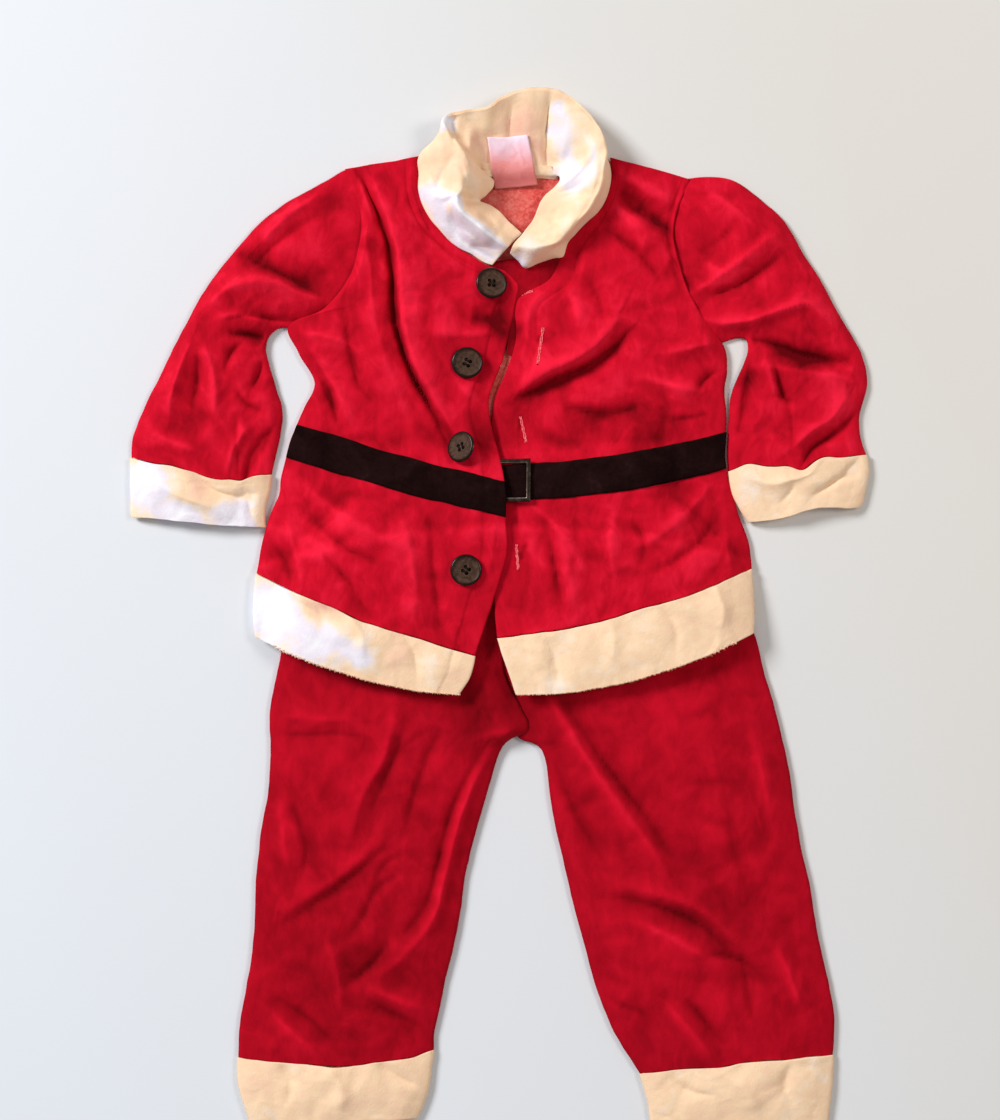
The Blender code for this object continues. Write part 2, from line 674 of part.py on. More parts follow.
def drill(made):
    """Four holes straight through a button."""
    shape = bmesh.new()
    for quarter in range(4):
        angle = math.pi / 4 + quarter * math.pi / 2
        place = (BUTTON_HOLE_SPREAD * math.cos(angle), BUTTON_HOLE_SPREAD * math.sin(angle))
        made_round = bmesh.ops.create_cone(
            shape, cap_ends=True, segments=8, radius1=BUTTON_HOLE_RADIUS, radius2=BUTTON_HOLE_RADIUS,
            depth=BUTTON_THICK * 4)
        bmesh.ops.translate(shape, vec=(*place, 0), verts=made_round["verts"])
    cutter = finish("button_hole_cutter", shape, made.data.materials[0], smooth=False)
    cut = made.modifiers.new("holes", "BOOLEAN")
    cut.operation = "DIFFERENCE"
    cut.solver = "EXACT"
    cut.object = cutter
    bpy.context.view_layer.update()
    drilled = bpy.data.meshes.new_from_object(made.evaluated_get(bpy.context.evaluated_depsgraph_get()))
    made.modifiers.clear()
    made.data = drilled
    bpy.data.objects.remove(cutter, do_unlink=True)


def build_buckle(items, surface):
    """A flat rectangular frame with no prong, lying over the ribbon."""
    shape = bmesh.new()
    half_x, half_y = BUCKLE_SIZE[0] / 2, BUCKLE_SIZE[1] / 2
    corners = ((-1, -1), (1, -1), (1, 1), (-1, 1))
    chamfer = 0.5
    outline = [
        (0.0, chamfer), (0.0, BUCKLE_THICK - chamfer), (chamfer, BUCKLE_THICK),
        (BUCKLE_BAR - chamfer, BUCKLE_THICK), (BUCKLE_BAR, BUCKLE_THICK - chamfer),
        (BUCKLE_BAR, chamfer), (BUCKLE_BAR - chamfer, 0.0), (chamfer, 0.0)]
    rings = []
    for inset, height in outline:
        ring = []
        for side_x, side_y in corners:
            spot = (side_x * (half_x - inset), side_y * (half_y - inset))
            ring.append(shape.verts.new((*spot, height)))
        rings.append(ring)
    for near, far in zip(rings, rings[1:] + rings[:1]):
        for k in range(4):
            m = (k + 1) % 4
            shape.faces.new((near[k], near[m], far[m], far[k]))
    lie_on(shape, items, *BUCKLE_PLACE, half_x, half_y)
    return finish("buckle", shape, surface, smooth=False)


def build_label(items, surface):
    """A blank woven label lying on the collar's inner face at the back neck."""
    top_right, top_left, low_left, low_right = (Vector(corner) for corner in LABEL_CORNERS)
    grid = []
    for i in range(6):
        line = []
        for j in range(4):
            upper = top_right.lerp(top_left, j / 3)
            lower = low_right.lerp(low_left, j / 3)
            x, y = upper.lerp(lower, i / 5)
            near = [(x + across, y + along) for across in (-5, 0, 5) for along in (-5, 0, 5)]
            line.append(Vector((x, y, max(height_on(items, *place) for place in near) + 3 * SEAM)))
        grid.append(line)
    return wall("label", grid, LABEL_THICK, surface)


def build_trousers():
    red = material("trouser velour", VELOUR_RED, 0.85)
    cream = material("ankle cuff fleece", FLEECE_CREAM, 0.95)
    band = material("waistband velour", VELOUR_RED, 0.85)
    build_leg("right", LEG_RIGHT, FOLDS_LEG_RIGHT, red)
    build_leg("left", LEG_LEFT, FOLDS_LEG_LEFT, red)
    tube("waistband", tube_rows(WAISTBAND, 8), VELOUR, band)
    tube("ankle_cuff_right", tube_rows(ANKLE_RIGHT, 8, 2), FLEECE, cream)
    tube("ankle_cuff_left", tube_rows(ANKLE_LEFT, 8, 2), FLEECE, cream)


def build_jacket():
    red = material("jacket velour", VELOUR_RED, 0.85)
    cream = material("jacket fleece", FLEECE_CREAM, 0.95)
    back, seam = build_jacket_back(red)
    build_hem_back(seam, cream)
    right = panel_grid(FRONT_RIGHT, 10, over_jacket_back, FOLDS_FRONT_RIGHT)
    left = panel_grid(FRONT_LEFT, 10, over_jacket_back, FOLDS_FRONT_LEFT)
    front_right = wall("jacket_front_right", right, VELOUR, red)
    front_left = wall("jacket_front_left", left, VELOUR, red)
    for name, sections in (("hem_front_right", HEM_FRONT_RIGHT), ("hem_front_left", HEM_FRONT_LEFT)):
        wall(name, panel_grid(moved(sections, BUTT + 0.2), 10, over_hem_back), FLEECE, cream)
    rows = tube_rows(SLEEVE_RIGHT, 8, 2, armhole(FRONT_RIGHT))
    tube("sleeve_right", rows, VELOUR, red, FOLDS_SLEEVE_RIGHT)
    rows = tube_rows(SLEEVE_LEFT, 8, 2, armhole(FRONT_LEFT))
    tube("sleeve_left", rows, VELOUR, red, FOLDS_SLEEVE_LEFT)
    tube("cuff_right", tube_rows(CUFF_RIGHT, 8, 2), FLEECE, cream)
    tube("cuff_left", tube_rows(CUFF_LEFT, 8, 2), FLEECE, cream)
    collar = build_collar(cream)
    black = material("belt velvet", VELVET_BLACK, 0.9)
    build_belt("belt_right", right, black)
    belt_left = build_belt("belt_left", left, black)
    metal = material("buckle metal", METAL_DARK, 0.35, 0.9)
    build_buckle([tree_of(front_left), tree_of(belt_left)], metal)
    brown = material("button plastic", BUTTON_BROWN, 0.3)
    for fastener in BUTTONS:
        build_button(fastener, [tree_of(front_right)], brown)
    build_label([tree_of(collar), tree_of(back)], material("label tape", LABEL_WHITE, 0.6))


clear_objects()
build_trousers()
build_jacket()
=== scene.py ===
"""The looks of a toddler's two-piece Santa suit, laid out face up: velour, fleece, velvet and trims.

Tables are in millimetres, in the frame's own axes: X to the wearer's left, Y towards the collar.
"""

import math
import random
from collections import namedtuple

import bmesh
import bpy
import numpy as np
from mathutils import Matrix, Vector, noise
from mathutils.bvhtree import BVHTree


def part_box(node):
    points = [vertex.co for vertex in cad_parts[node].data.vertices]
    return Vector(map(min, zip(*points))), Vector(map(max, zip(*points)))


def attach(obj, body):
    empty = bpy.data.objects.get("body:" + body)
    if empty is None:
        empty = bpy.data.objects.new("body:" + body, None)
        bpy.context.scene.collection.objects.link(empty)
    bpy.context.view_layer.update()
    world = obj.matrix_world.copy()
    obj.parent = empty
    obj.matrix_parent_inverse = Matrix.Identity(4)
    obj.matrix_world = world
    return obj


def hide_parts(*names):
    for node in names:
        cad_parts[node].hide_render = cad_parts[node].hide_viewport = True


MM = 0.001
# Walls, and the gap left at seams.
VELOUR = 1.4
FLEECE = 2.6
COLLAR_WALL = 1.8
RIBBON = 0.9
WAISTBAND_WALL = 1.2
FACING_WALL = 1.0
SEAM = 0.3
# Rows of mesh between two sections of a velour piece, of its fleece tubes and of its hem bands.
FINE = 14
TUBE_FINE = 18
HEM_FINE = 16
# Columns of mesh across a jacket front, a leg, a sleeve and a fleece tube.
FRONT_COLUMNS = 120
LEG_COLUMNS = 104
SLEEVE_COLUMNS = 90
TRIM_COLUMNS = 70
# How far the tables' folds lift the cloth, and how much calmer the trousers lie than the jacket.
FOLD_SCALE = 1.35
LEG_FOLD_SHARE = 0.72
LEG_WRINKLES = 0.65
HEM_WRINKLES = 0.8
TUBE_WRINKLES = 0.9
# The trousers under the jacket: their upper edge, their height, how far the jacket takes to slope down over
# their sides, and how much of that is outside them. The back hem rises in the middle.
TROUSERS_TOP = 98.0
TROUSERS_HEIGHT = 9.0
DRAPE = 40
DRAPE_OUTSIDE = 17
BACK_HEM_RISE = 26
# The rows of FRONT_RIGHT and FRONT_LEFT that the ribbon runs between.
BELT_TOP, BELT_BOTTOM = 8, 9
# The button, its four holes and the buckle.
BUTTON_RADIUS = 11.0
HOLE_RADIUS = 1.3
HOLE_REACH = 2.3
BUCKLE_WIDTH, BUCKLE_HEIGHT, BUCKLE_BAR, BUCKLE_WALL = 25.5, 30.5, 3.0, 1.7

# A panel's row, from its side edge to its inner edge: bow curves it, dome swells it, the rises lift its ends.
Section = namedtuple("Section", "name side_x side_y inner_x inner_y bow dome side_rise inner_rise")
TubeSection = namedtuple("TubeSection", "name outer_x outer_y under_x under_y bow dome")
# A fold's widths are to the left and the right of its path; below 0 it is a trough.
Fold = namedtuple("Fold", "name height left_width right_width path")
# The collar at one place round the neck: its outer seam, its top and its inner edge.
Station = namedtuple("Station", "seam crest hole")
Mark = namedtuple("Mark", "name x y to_x to_y")
# Where colour is painted lighter or darker to stand in for light and shade, and where a seam or corner is pushed to the
# right or up.
Patch = namedtuple("Patch", "name x y reach tone")
Nudge = namedtuple("Nudge", "name x y reach right up")
Button = namedtuple("Button", "name x y lean")
Light = namedtuple("Light", "name place size power colour")


def table(kind, rows):
    return [kind(*row) for row in rows]


FRONT_RIGHT = table(Section, [
    ("shoulder seam", -108, 306, -56, 315, 0, 0, 0.6, 0.6),
    ("upper armhole", -97, 270, -55, 290, 0, 3, 3.6, 1),
    ("chest", -104, 233, -40, 261, 0, 5, 4.6, 1),
    ("lower armhole", -124, 207, -12, 240, 0, 6, 3.6, 1),
    ("underarm", -148, 196, 17, 230, 0, 6, 0.6, 1),
    ("ribs", -141, 177, 11, 207, 0, 6.5, 0, 1.6),
    ("waist hollow", -130, 156, 3.2, 173.5, 0, 6.5, 0, 2),
    ("above belt", -137, 139, -7, 138, 0, 6, 0, 4),
    ("belt top", -142, 127, 4, 86, -2, 5, 0, 6.6),
    ("belt bottom", -150, 103, 4.5, 61, -2, 5, 0, 6.6),
    ("hip", -159, 70, 5, 35, -2, 6, 0, 4),
    ("above hem", -167, 42, -4, 3, -3, 6, 0, 3.4),
    ("hem seam", -171, 21, -16, -36, -3, 5, 0, 2),
])
FRONT_LEFT = table(Section, [
    ("shoulder seam", 134, 299, 78, 314, 0, 0, 0.6, 0.6),
    ("upper armhole", 123, 266, 79, 297, 0, 3, 3.6, 1),
    ("chest", 128, 233, 67, 274, 0, 5, 4.6, 1),
    ("lower armhole", 140, 206, 47, 252, 0, 6, 3.6, 1),
    ("underarm", 157, 184, 37, 229, 0, 6, 0.6, 1.6),
    ("ribs", 161, 168, 13, 213, 0, 6.5, 0, 3.4),
    ("waist hollow", 160, 151, 11, 181, 0, 6.5, 0, 2.6),
    ("above belt", 160, 136, -4, 139, -3, 6, 0, 0.5),
    ("belt top", 160, 121, -6, 97, -5, 5, 0, 0.5),
    ("belt bottom", 160, 95, -5, 73, -6, 5, 0, 0.5),
    ("hip", 166, 70, -4, 43, -3, 6, 0, 0.5),
    ("above hem", 175, 45, -4, 9, -4, 6, 0, 0.5),
    ("hem seam", 178, 25, -1, -23, -8, 5, 0, 2),
])
HEM_FRONT_RIGHT = table(Section, [
    ("seam", -171.3, 20.6, -16, -36.6, -3, 4, 0, 1.5),
    ("middle", -173, -1, -20, -50, -5, 5, 0, 2),
    ("edge", -171, -23, -28, -63, -8, 3, 0, 1),
])
HEM_FRONT_LEFT = table(Section, [
    ("seam", 178.3, 24.6, -1, -23.6, -8, 4, 0, 1.5),
    ("middle", 179, 3, 4, -42, -9, 5, 0, 2),
    ("edge", 178, -20, 12, -63, -11, 3, 0, 1),
])
LEG_RIGHT = table(Section, [
    ("waist", -91, 75, 15, 75, 0, 3.6, 0, 2),
    ("upper hip", -123, 46, 15, 36, 0, 3.6, 0, 3),
    ("hip", -142, 11, 6, -8, 0, 3.6, 0, 3),
    ("seat", -152, -28, 3, -45, 0, 4, 0, 3.6),
    ("fork", -159, -60, 15, -71, 0, 6, 0, 4.6),
    ("crotch", -161, -85, 21, -88, 0, 7, 0, 3.4),
    ("thigh", -161, -109, 2, -101, 0, 7, 0, 0.8),
    ("lower thigh", -163, -137, -8, -132, 0, 7, 0, 0),
    ("above knee", -168, -166, -17, -160, 0, 7, 0, 0),
    ("knee", -171, -197, -24, -192, 0, 7, 0, 0),
    ("calf", -173, -233, -29, -228, 0, 7, 0, 0),
    ("lower calf", -177, -268, -38, -266, 0, 6.5, 0, 0),
    ("above ankle", -183, -295, -44, -294, 0, 6, 0, 0),
    ("ankle", -183, -319.2, -47, -316.2, -5, 5, 0, 0),
])
LEG_LEFT = table(Section, [
    ("waist", 108, 75, 13.4, 75, 0, 3.6, 0, 2),
    ("upper hip", 142, 46, 13.4, 36, 0, 3.6, 0, 3),
    ("hip", 164, 14, -2, -8, 0, 3.6, 0, 3),
    ("seat", 180, -22, -5, -45, 0, 4, 0, 0.5),
    ("fork", 187, -50, 5, -74, 0, 6, 0, 0.3),
    ("crotch", 195, -76, 13, -94, 0, 7, 0, 0),
    ("thigh", 202, -106, 30, -103, 0, 7, 0, 0),
    ("lower thigh", 207, -136, 36, -134, 0, 7, 0, 0),
    ("above knee", 212, -167, 42, -166, 0, 7, 0, 0),
    ("knee", 219, -200, 50, -201, 0, 7, 0, 0),
    ("calf", 225, -235, 59, -236, 0, 7, 0, 0),
    ("lower calf", 232, -268, 69, -271, 0, 6.5, 0, 0),
    ("above ankle", 236, -292, 82, -303, 0, 6, 0, 0),
    ("ankle", 235, -317.2, 99, -330.2, 2, 5, 0, 0),
])
SLEEVE_RIGHT = table(TubeSection, [
    ("cap", -151, 282, -155, 194, 0, 7),
    ("upper arm", -183, 252, -162, 188, 0, 8),
    ("above elbow", -207, 222, -164, 179, 0, 8),
    ("elbow", -225, 189, -161, 167, 0, 8),
    ("forearm", -239, 160, -157, 152, 0, 8),
    ("lower forearm", -250, 137, -153, 136, 0, 7),
    ("wrist", -257, 118, -154, 116, -2, 6),
    ("cuff seam", -259, 103, -160, 91, -4, 5),
])
SLEEVE_LEFT = table(TubeSection, [
    ("cap", 165, 298, 166, 187, 0, 7),
    ("upper arm", 198, 272, 173, 186, 0, 8),
    ("above elbow", 217, 242, 175, 180, 0, 8),
    ("elbow", 236, 210, 173, 171, 0, 8),
    ("forearm", 254, 179, 168, 158, 0, 8),
    ("lower forearm", 259, 156, 163.2, 143, 0, 7),
    ("low forearm", 254, 134, 161.4, 127, 0, 6),
    ("wrist", 255, 117, 161, 110, 0, 6),
    ("cuff seam", 259, 105, 161, 93, 0, 5),
])
CUFF_RIGHT = table(TubeSection, [
    ("seam", -260, 102.6, -159.5, 90.6, -4, 4.5),
    ("middle", -260, 82, -164, 74, -3, 5.5),
    ("end", -258, 63, -164, 54, -2, 4),
])
CUFF_LEFT = table(TubeSection, [
    ("seam", 260, 104.6, 161, 92.6, 0, 4.5),
    ("middle", 260, 88, 163.5, 76, 0, 5.5),
    ("end", 252, 66, 175, 57, 0, 4),
])
ANKLE_RIGHT = table(TubeSection, [
    ("seam", -184, -319.4, -46.5, -316.4, -5, 4),
    ("middle", -183, -342, -49, -339, -5, 6),
    ("end", -176, -363.7, -57, -362, 0, 4),
])
ANKLE_LEFT = table(TubeSection, [
    ("seam", 236, -317.4, 98.5, -330.4, 2, 4),
    ("middle", 234, -342, 104, -348, 1, 6),
    ("end", 232, -363.7, 106, -363.7, 0, 4),
])
FOLDS_FRONT_RIGHT = table(Fold, [
    ("long crease", -7, 2.2, 1.9, ((-100, 308), (-80, 261), (-75, 236), (-73, 199), (-64, 168), (-50, 141),
     (-36, 114))),
    ("cloth lapping it", 5.5, 15, 3, ((-88, 298), (-74, 260), (-69, 236), (-67, 199), (-58, 168),
     (-44, 143), (-28, 114))),
    ("outer chest ridge", 2.5, 5, 9, ((-97, 268), (-91, 240), (-88, 205), (-80, 172), (-68, 146))),
    ("outer chest hollow", -2.2, 9, 5, ((-108, 232), (-108, 205), (-104, 178), (-94, 150))),
    ("shoulder tuck", -3, 4, 3, ((-105, 300), (-101, 284), (-97, 266))),
    ("shoulder ridge", 2, 5, 5, ((-98, 298), (-92, 282), (-88, 268))),
    ("waist tuck", -4.5, 3, 2.6, ((-142, 184), (-129, 162), (-120, 148), (-113, 126))),
    ("waist tuck ridge", 3.5, 10, 3, ((-134, 182), (-123, 164), (-114, 150), (-106, 130))),
    ("second waist tuck", -2.5, 3, 3, ((-106, 186), (-103, 168), (-98, 152), (-88, 142))),
    ("underarm pull", 2.5, 4, 9, ((-142, 190), (-122, 188), (-104, 182), (-94, 172))),
    ("placket swell", 3, 4, 10, ((-2, 192), (-12, 190), (-30, 189), (-44, 190))),
    ("hollow below the top button", -4.5, 6, 8, ((10, 200), (2, 199), (-10, 200), (-20, 201))),
    ("placket pucker", 2.5, 9, 3, ((-34, 163), (-26, 152), (-14, 142), (-4, 134))),
    ("neckline stitching", -1.1, 1.3, 1.3, ((-66, 312), (-65, 296), (-62, 280), (-54, 264), (-42, 253),
     (-28, 243), (-14, 236), (0, 231))),
    ("hip ridge", 3, 4, 12, ((-142, 88), (-118, 68), (-92, 52), (-66, 42))),
    ("hip hollow", -2.5, 5, 5, ((-138, 66), (-112, 44), (-84, 28))),
    ("skirt ridge", 2.5, 4, 11, ((-70, 66), (-62, 40), (-58, 12), (-60, -14))),
    ("skirt hollow", -2.5, 5, 4, ((-50, 62), (-46, 34), (-44, 6), (-42, -20))),
    ("skirt side", 2.5, 10, 4, ((-150, 60), (-142, 36), (-138, 12))),
    ("skirt dent", -2.4, 4, 6, ((-124, 36), (-104, 14), (-90, -6))),
    ("placket end ridge", 2, 4, 4, ((-2, 58), (-4, 40), (-6, 20))),
    ("side dents", -2, 4, 4, ((-160, 44), (-150, 30), (-146, 14))),
])
FOLDS_FRONT_LEFT = table(Fold, [
    ("belly crease", -7, 2.2, 7, ((6, 138), (22, 148), (35, 155), (49, 161), (62, 167), (74, 175),
     (83, 182), (91, 192))),
    ("cloth over it", 6, 15, 3.4, ((12, 149), (27, 158), (42, 166), (56, 173), (68, 181), (77, 190),
     (83, 201))),
    ("chest valley", -4.5, 4, 4, ((84, 291), (93, 283), (103, 274), (114, 267), (123, 262))),
    ("ridge over the valley", 4, 8, 3, ((88, 299), (98, 294), (108, 288), (120, 283))),
    ("chest ridge", 3, 3, 8, ((82, 279), (94, 271), (104, 262), (118, 250))),
    ("second valley", -3, 4, 4, ((76, 264), (88, 255), (100, 244), (112, 230))),
    ("armhole valley", -5, 6, 3, ((126, 290), (121, 266), (124, 240), (133, 213))),
    ("front top roll", 3.5, 5, 9, ((44, 234), (35, 222), (24, 213), (20, 200))),
    ("front edge roll", 3, 3, 8, ((19, 208), (20, 195), (18, 180), (12, 163))),
    ("chest swell", 3, 10, 4, ((46, 226), (54, 208), (56, 192))),
    ("chest line", -2, 3, 4, ((62, 230), (70, 214), (74, 198))),
    ("belly hollow", -3.5, 4, 7, ((46, 140), (62, 135), (80, 134), (98, 140))),
    ("belly swell", 2.5, 8, 4, ((102, 160), (122, 152), (142, 150))),
    ("waist line", -2, 3, 5, ((112, 132), (128, 130), (148, 134))),
    ("side pull", 2.5, 4, 9, ((154, 184), (136, 180), (118, 176))),
    ("side tuck", -3, 3, 3, ((158, 164), (148, 160), (140, 152))),
    ("buckle ridge", 3, 6, 3, ((24, 68), (38, 56), (50, 42), (58, 24))),
    ("skirt crease", -3.4, 2.6, 3.5, ((35, 46), (38, 30), (41, 14), (43, 0))),
    ("skirt ridge", 2.8, 4, 7, ((43, 52), (47, 34), (50, 16), (52, 0))),
    ("front hollow", -2.4, 4, 6, ((8, 58), (14, 40), (18, 18), (18, -6))),
    ("hip ridge", 3, 4, 11, ((150, 86), (132, 64), (110, 48), (92, 38))),
    ("hip hollow", -2.6, 4, 6, ((158, 66), (142, 46), (122, 30), (104, 22))),
    ("skirt side", 2.5, 4, 9, ((160, 56), (160, 40), (162, 26))),
    ("skirt swell", 2.5, 10, 4, ((80, 66), (78, 44), (80, 20))),
    ("skirt line", -2, 3, 3, ((92, 60), (100, 44), (98, 26))),
])
FOLDS_SLEEVE_RIGHT = table(Fold, [
    ("cap hollow", -5.5, 9, 6, ((-182, 247), (-162, 237), (-142, 226), (-124, 216))),
    ("elbow ridge", 5.5, 6, 9, ((-204, 209), (-191, 220), (-174, 226), (-156, 224), (-138, 217),
     (-122, 214))),
    ("elbow trough", -3.5, 4, 4, ((-190, 200), (-174, 203), (-152, 199), (-136, 197))),
    ("inner elbow ridge", 3.5, 3, 5, ((-198, 201), (-180, 203), (-162, 197))),
    ("elbow pocket", -5, 4, 5, ((-190, 190), (-176, 189), (-160, 185))),
    ("upper arm ridge", 3, 4, 10, ((-126, 290), (-146, 274), (-166, 254))),
    ("upper arm line", -2, 3, 4, ((-130, 272), (-150, 258), (-170, 240))),
    ("outer forearm ridge", 4, 4, 8, ((-216, 184), (-223, 166), (-229, 148), (-232, 130))),
    ("forearm ridge", 3, 3, 8, ((-206, 182), (-200, 164), (-198, 148), (-200, 132))),
    ("forearm hollow", -3.5, 3.5, 4, ((-211, 176), (-212, 156), (-215, 136))),
    ("inner crease", -3.5, 3, 3.5, ((-192, 164), (-188, 176), (-180, 184))),
    ("forearm tuck", -3.5, 3, 4, ((-174, 150), (-169, 160), (-166, 170))),
    ("lower tuck", -3, 3, 3.5, ((-184, 148), (-176, 139), (-166, 135))),
    ("wrist crease", -4.5, 3, 4, ((-180, 84), (-174, 101), (-167, 112), (-158, 124))),
    ("wrist ridge", 3, 6, 3, ((-192, 94), (-184, 112), (-176, 124))),
    ("wrist swell", 2.5, 4, 9, ((-244, 120), (-228, 112), (-212, 108))),
    ("sleeve seam", -1.4, 1.6, 1.6, ((-184, 132), (-184, 112), (-183, 92))),
])
FOLDS_SLEEVE_LEFT = table(Fold, [
    ("elbow trough", -6, 4, 6, ((176, 186), (194, 182), (212, 175), (232, 171), (248, 170))),
    ("ridge above it", 5, 8, 4, ((142, 201), (158, 197), (176, 199), (198, 206), (216, 210), (229, 200))),
    ("ridge below it", 3, 3, 8, ((184, 167), (204, 164), (224, 161), (246, 158))),
    ("cap ridge", 4.5, 4, 9, ((134, 217), (146, 224), (158, 232), (172, 243), (184, 253), (194, 261))),
    ("cap hollow", -4, 4, 6, ((146, 216), (164, 222), (182, 232), (198, 244))),
    ("upper cap line", -2, 3, 5, ((140, 246), (154, 256), (168, 270))),
    ("small cap ridge", 2.5, 3, 4, ((146, 240), (152, 234), (155, 227))),
    ("forearm ridge", 4.5, 7, 3, ((186, 172), (190, 160), (194, 146))),
    ("forearm pocket", -5, 4, 3, ((193, 166), (196, 155), (200, 145), (206, 142))),
    ("wrist diagonal", -5, 3, 4, ((212, 101), (224, 112), (237, 122), (253, 136))),
    ("diagonal ridge", 3.5, 8, 3, ((206, 110), (220, 122), (234, 132), (244, 146))),
    ("inner trough", -3.5, 4, 4, ((175, 172), (175, 156), (171, 134), (168, 120))),
    ("sleeve seam", -1.4, 1.6, 1.6, ((202, 143), (204, 130), (206, 112))),
    ("shoulder swell", 3, 4, 10, ((146, 290), (164, 278), (182, 262))),
])
FOLDS_LEG_RIGHT = table(Fold, [
    ("inner ridge", 4.5, 4, 6, ((18, -86), (5, -91), (-10, -112), (-24, -140), (-35, -181), (-45, -218),
     (-62, -241), (-82, -259))),
    ("inner crease", -3.5, 4, 3, ((-6, -96), (-20, -118), (-33, -144), (-42, -180), (-53, -214),
     (-70, -234))),
    ("hip crease", -1.8, 3, 5, ((-160, -91), (-138, -92), (-114, -91), (-90, -94))),
    ("hip ridge", 2, 8, 3, ((-152, -80), (-128, -80), (-100, -82))),
    ("thigh ridge", 3, 3, 10, ((-72, -66), (-79, -103), (-90, -124), (-98, -140), (-105, -167))),
    ("thigh line", -2, 3, 3, ((-66, -80), (-72, -104), (-84, -132), (-92, -152))),
    ("inner hollow", -3, 6, 6, ((-40, -84), (-50, -108), (-60, -134), (-66, -160))),
    ("knee crease", -2.6, 3, 5, ((-152, -224), (-132, -211), (-112, -198), (-92, -181), (-76, -164))),
    ("knee ridge", 2.4, 9, 4, ((-150, -214), (-126, -200), (-104, -184), (-84, -164))),
    ("second knee crease", -2.6, 3, 3, ((-106, -232), (-94, -216), (-86, -200), (-72, -190))),
    ("third knee crease", -2.2, 3, 3, ((-88, -196), (-80, -182), (-66, -174))),
    ("side ridge", 3, 8, 4, ((-154, -130), (-152, -160), (-148, -186))),
    ("side crease", -2, 3, 3, ((-146, -140), (-136, -166), (-138, -190))),
    ("calf swell", 2.6, 4, 10, ((-120, -236), (-112, -262), (-112, -286))),
    ("calf crease", -2.6, 3, 4, ((-78, -236), (-92, -256), (-108, -268))),
    ("ankle tuck", -2.4, 4, 5, ((-158, -276), (-134, -290), (-116, -306))),
    ("ankle ridge", 3, 3, 7, ((-160, -286), (-144, -300), (-128, -314))),
    ("inner ankle ridge", 3, 4, 7, ((-92, -268), (-74, -276), (-54, -284))),
    ("inner ankle tuck", -2.2, 4, 5, ((-94, -276), (-74, -288), (-52, -298))),
])
FOLDS_LEG_LEFT = table(Fold, [
    ("thigh ridge", 4.5, 3.5, 9, ((30, -58), (40, -72), (50, -88), (62, -108), (80, -135), (98, -158),
     (117, -187))),
    ("thigh crease", -3, 4, 3, ((44, -66), (54, -82), (66, -100), (84, -126), (102, -148), (122, -178))),
    ("inner hollow", -3, 6, 6, ((36, -104), (46, -128), (60, -158), (74, -182))),
    ("inner side ridge", 2.6, 4, 6, ((30, -108), (40, -140), (50, -174), (62, -210))),
    ("knee crease", -2.8, 3, 4.5, ((78, -204), (98, -208), (117, -213), (144, -227), (167, -250))),
    ("knee ridge", 3, 9, 4, ((84, -196), (104, -201), (122, -206), (148, -219), (168, -238))),
    ("ridge below the knee", 3, 3, 8, ((92, -222), (112, -228), (134, -240), (156, -252))),
    ("star crease", -2.6, 3, 3, ((138, -248), (154, -246), (168, -250), (180, -256))),
    ("ankle ridge", 4, 3, 8, ((118, -280), (130, -294), (142, -308), (150, -318))),
    ("ankle hollow", -3, 5, 4, ((130, -276), (142, -290), (154, -306))),
    ("side crease", -2.8, 3.5, 4, ((170, -246), (172, -262), (175, -278), (178, -292))),
    ("side ridge", 3.5, 4, 8, ((194, -240), (202, -256), (208, -272), (214, -286))),
    ("faint line", -1.4, 3, 4, ((136, -126), (154, -125), (172, -126))),
    ("side swell", 3, 10, 4, ((176, -90), (184, -118), (190, -150))),
    ("long thigh line", -1.3, 5, 4, ((150, -96), (158, -130), (164, -170), (176, -204))),
    ("inner ankle ridge", 3, 3, 7, ((72, -290), (80, -304), (90, -318))),
    ("inner ankle tuck", -2.2, 4, 4, ((66, -270), (84, -281), (104, -288))),
])
FOLDS_TRIM = table(Fold, [
    ("left cuff diagonal", -3.5, 2.5, 4, ((220, 72), (236, 85), (248, 95), (258, 104))),
    ("left cuff ridge", 2.5, 5, 4, ((172, 88), (190, 84), (206, 88), (218, 94))),
    ("left cuff dent", -2, 4, 4, ((196, 70), (204, 78), (206, 88))),
    ("right cuff dent", -3, 3, 4, ((-216, 92), (-200, 82), (-184, 76), (-170, 78))),
    ("right cuff ridge", 2.4, 4, 5, ((-240, 86), (-222, 76), (-200, 68))),
    ("right cuff pucker", -2.2, 3, 3, ((-180, 84), (-176, 74), (-174, 62))),
    ("right hem dent", -2, 4, 4, ((-146, 6), (-128, -6), (-112, -20))),
    ("right hem ridge", 1.8, 4, 5, ((-104, -6), (-96, -20), (-94, -38))),
    ("right hem pucker", -1.8, 3, 4, ((-66, -22), (-58, -36), (-56, -52))),
    ("left hem dent", -1.8, 4, 4, ((34, -26), (40, -42), (40, -56))),
    ("left hem ridge", 1.8, 5, 5, ((76, -8), (80, -24), (78, -44))),
    ("left hem pucker", -1.8, 3, 4, ((112, 2), (122, -14), (124, -32))),
    ("left hem side ridge", 1.8, 4, 5, ((150, 14), (156, -2), (154, -18))),
    ("right ankle pucker", -2.4, 3, 4, ((-154, -324), (-146, -336), (-148, -352))),
    ("right ankle ridge", 2.4, 5, 5, ((-120, -324), (-110, -338), (-112, -354))),
    ("right ankle crease", -2.6, 3, 4, ((-84, -322), (-72, -332), (-58, -338))),
    ("left ankle pucker", -2.4, 3, 4, ((122, -334), (134, -342), (150, -344))),
    ("left ankle ridge", 2.2, 5, 5, ((158, -328), (172, -338), (182, -352))),
    ("left ankle crease", -2.4, 3, 4, ((204, -322), (200, -338), (206, -352))),
])
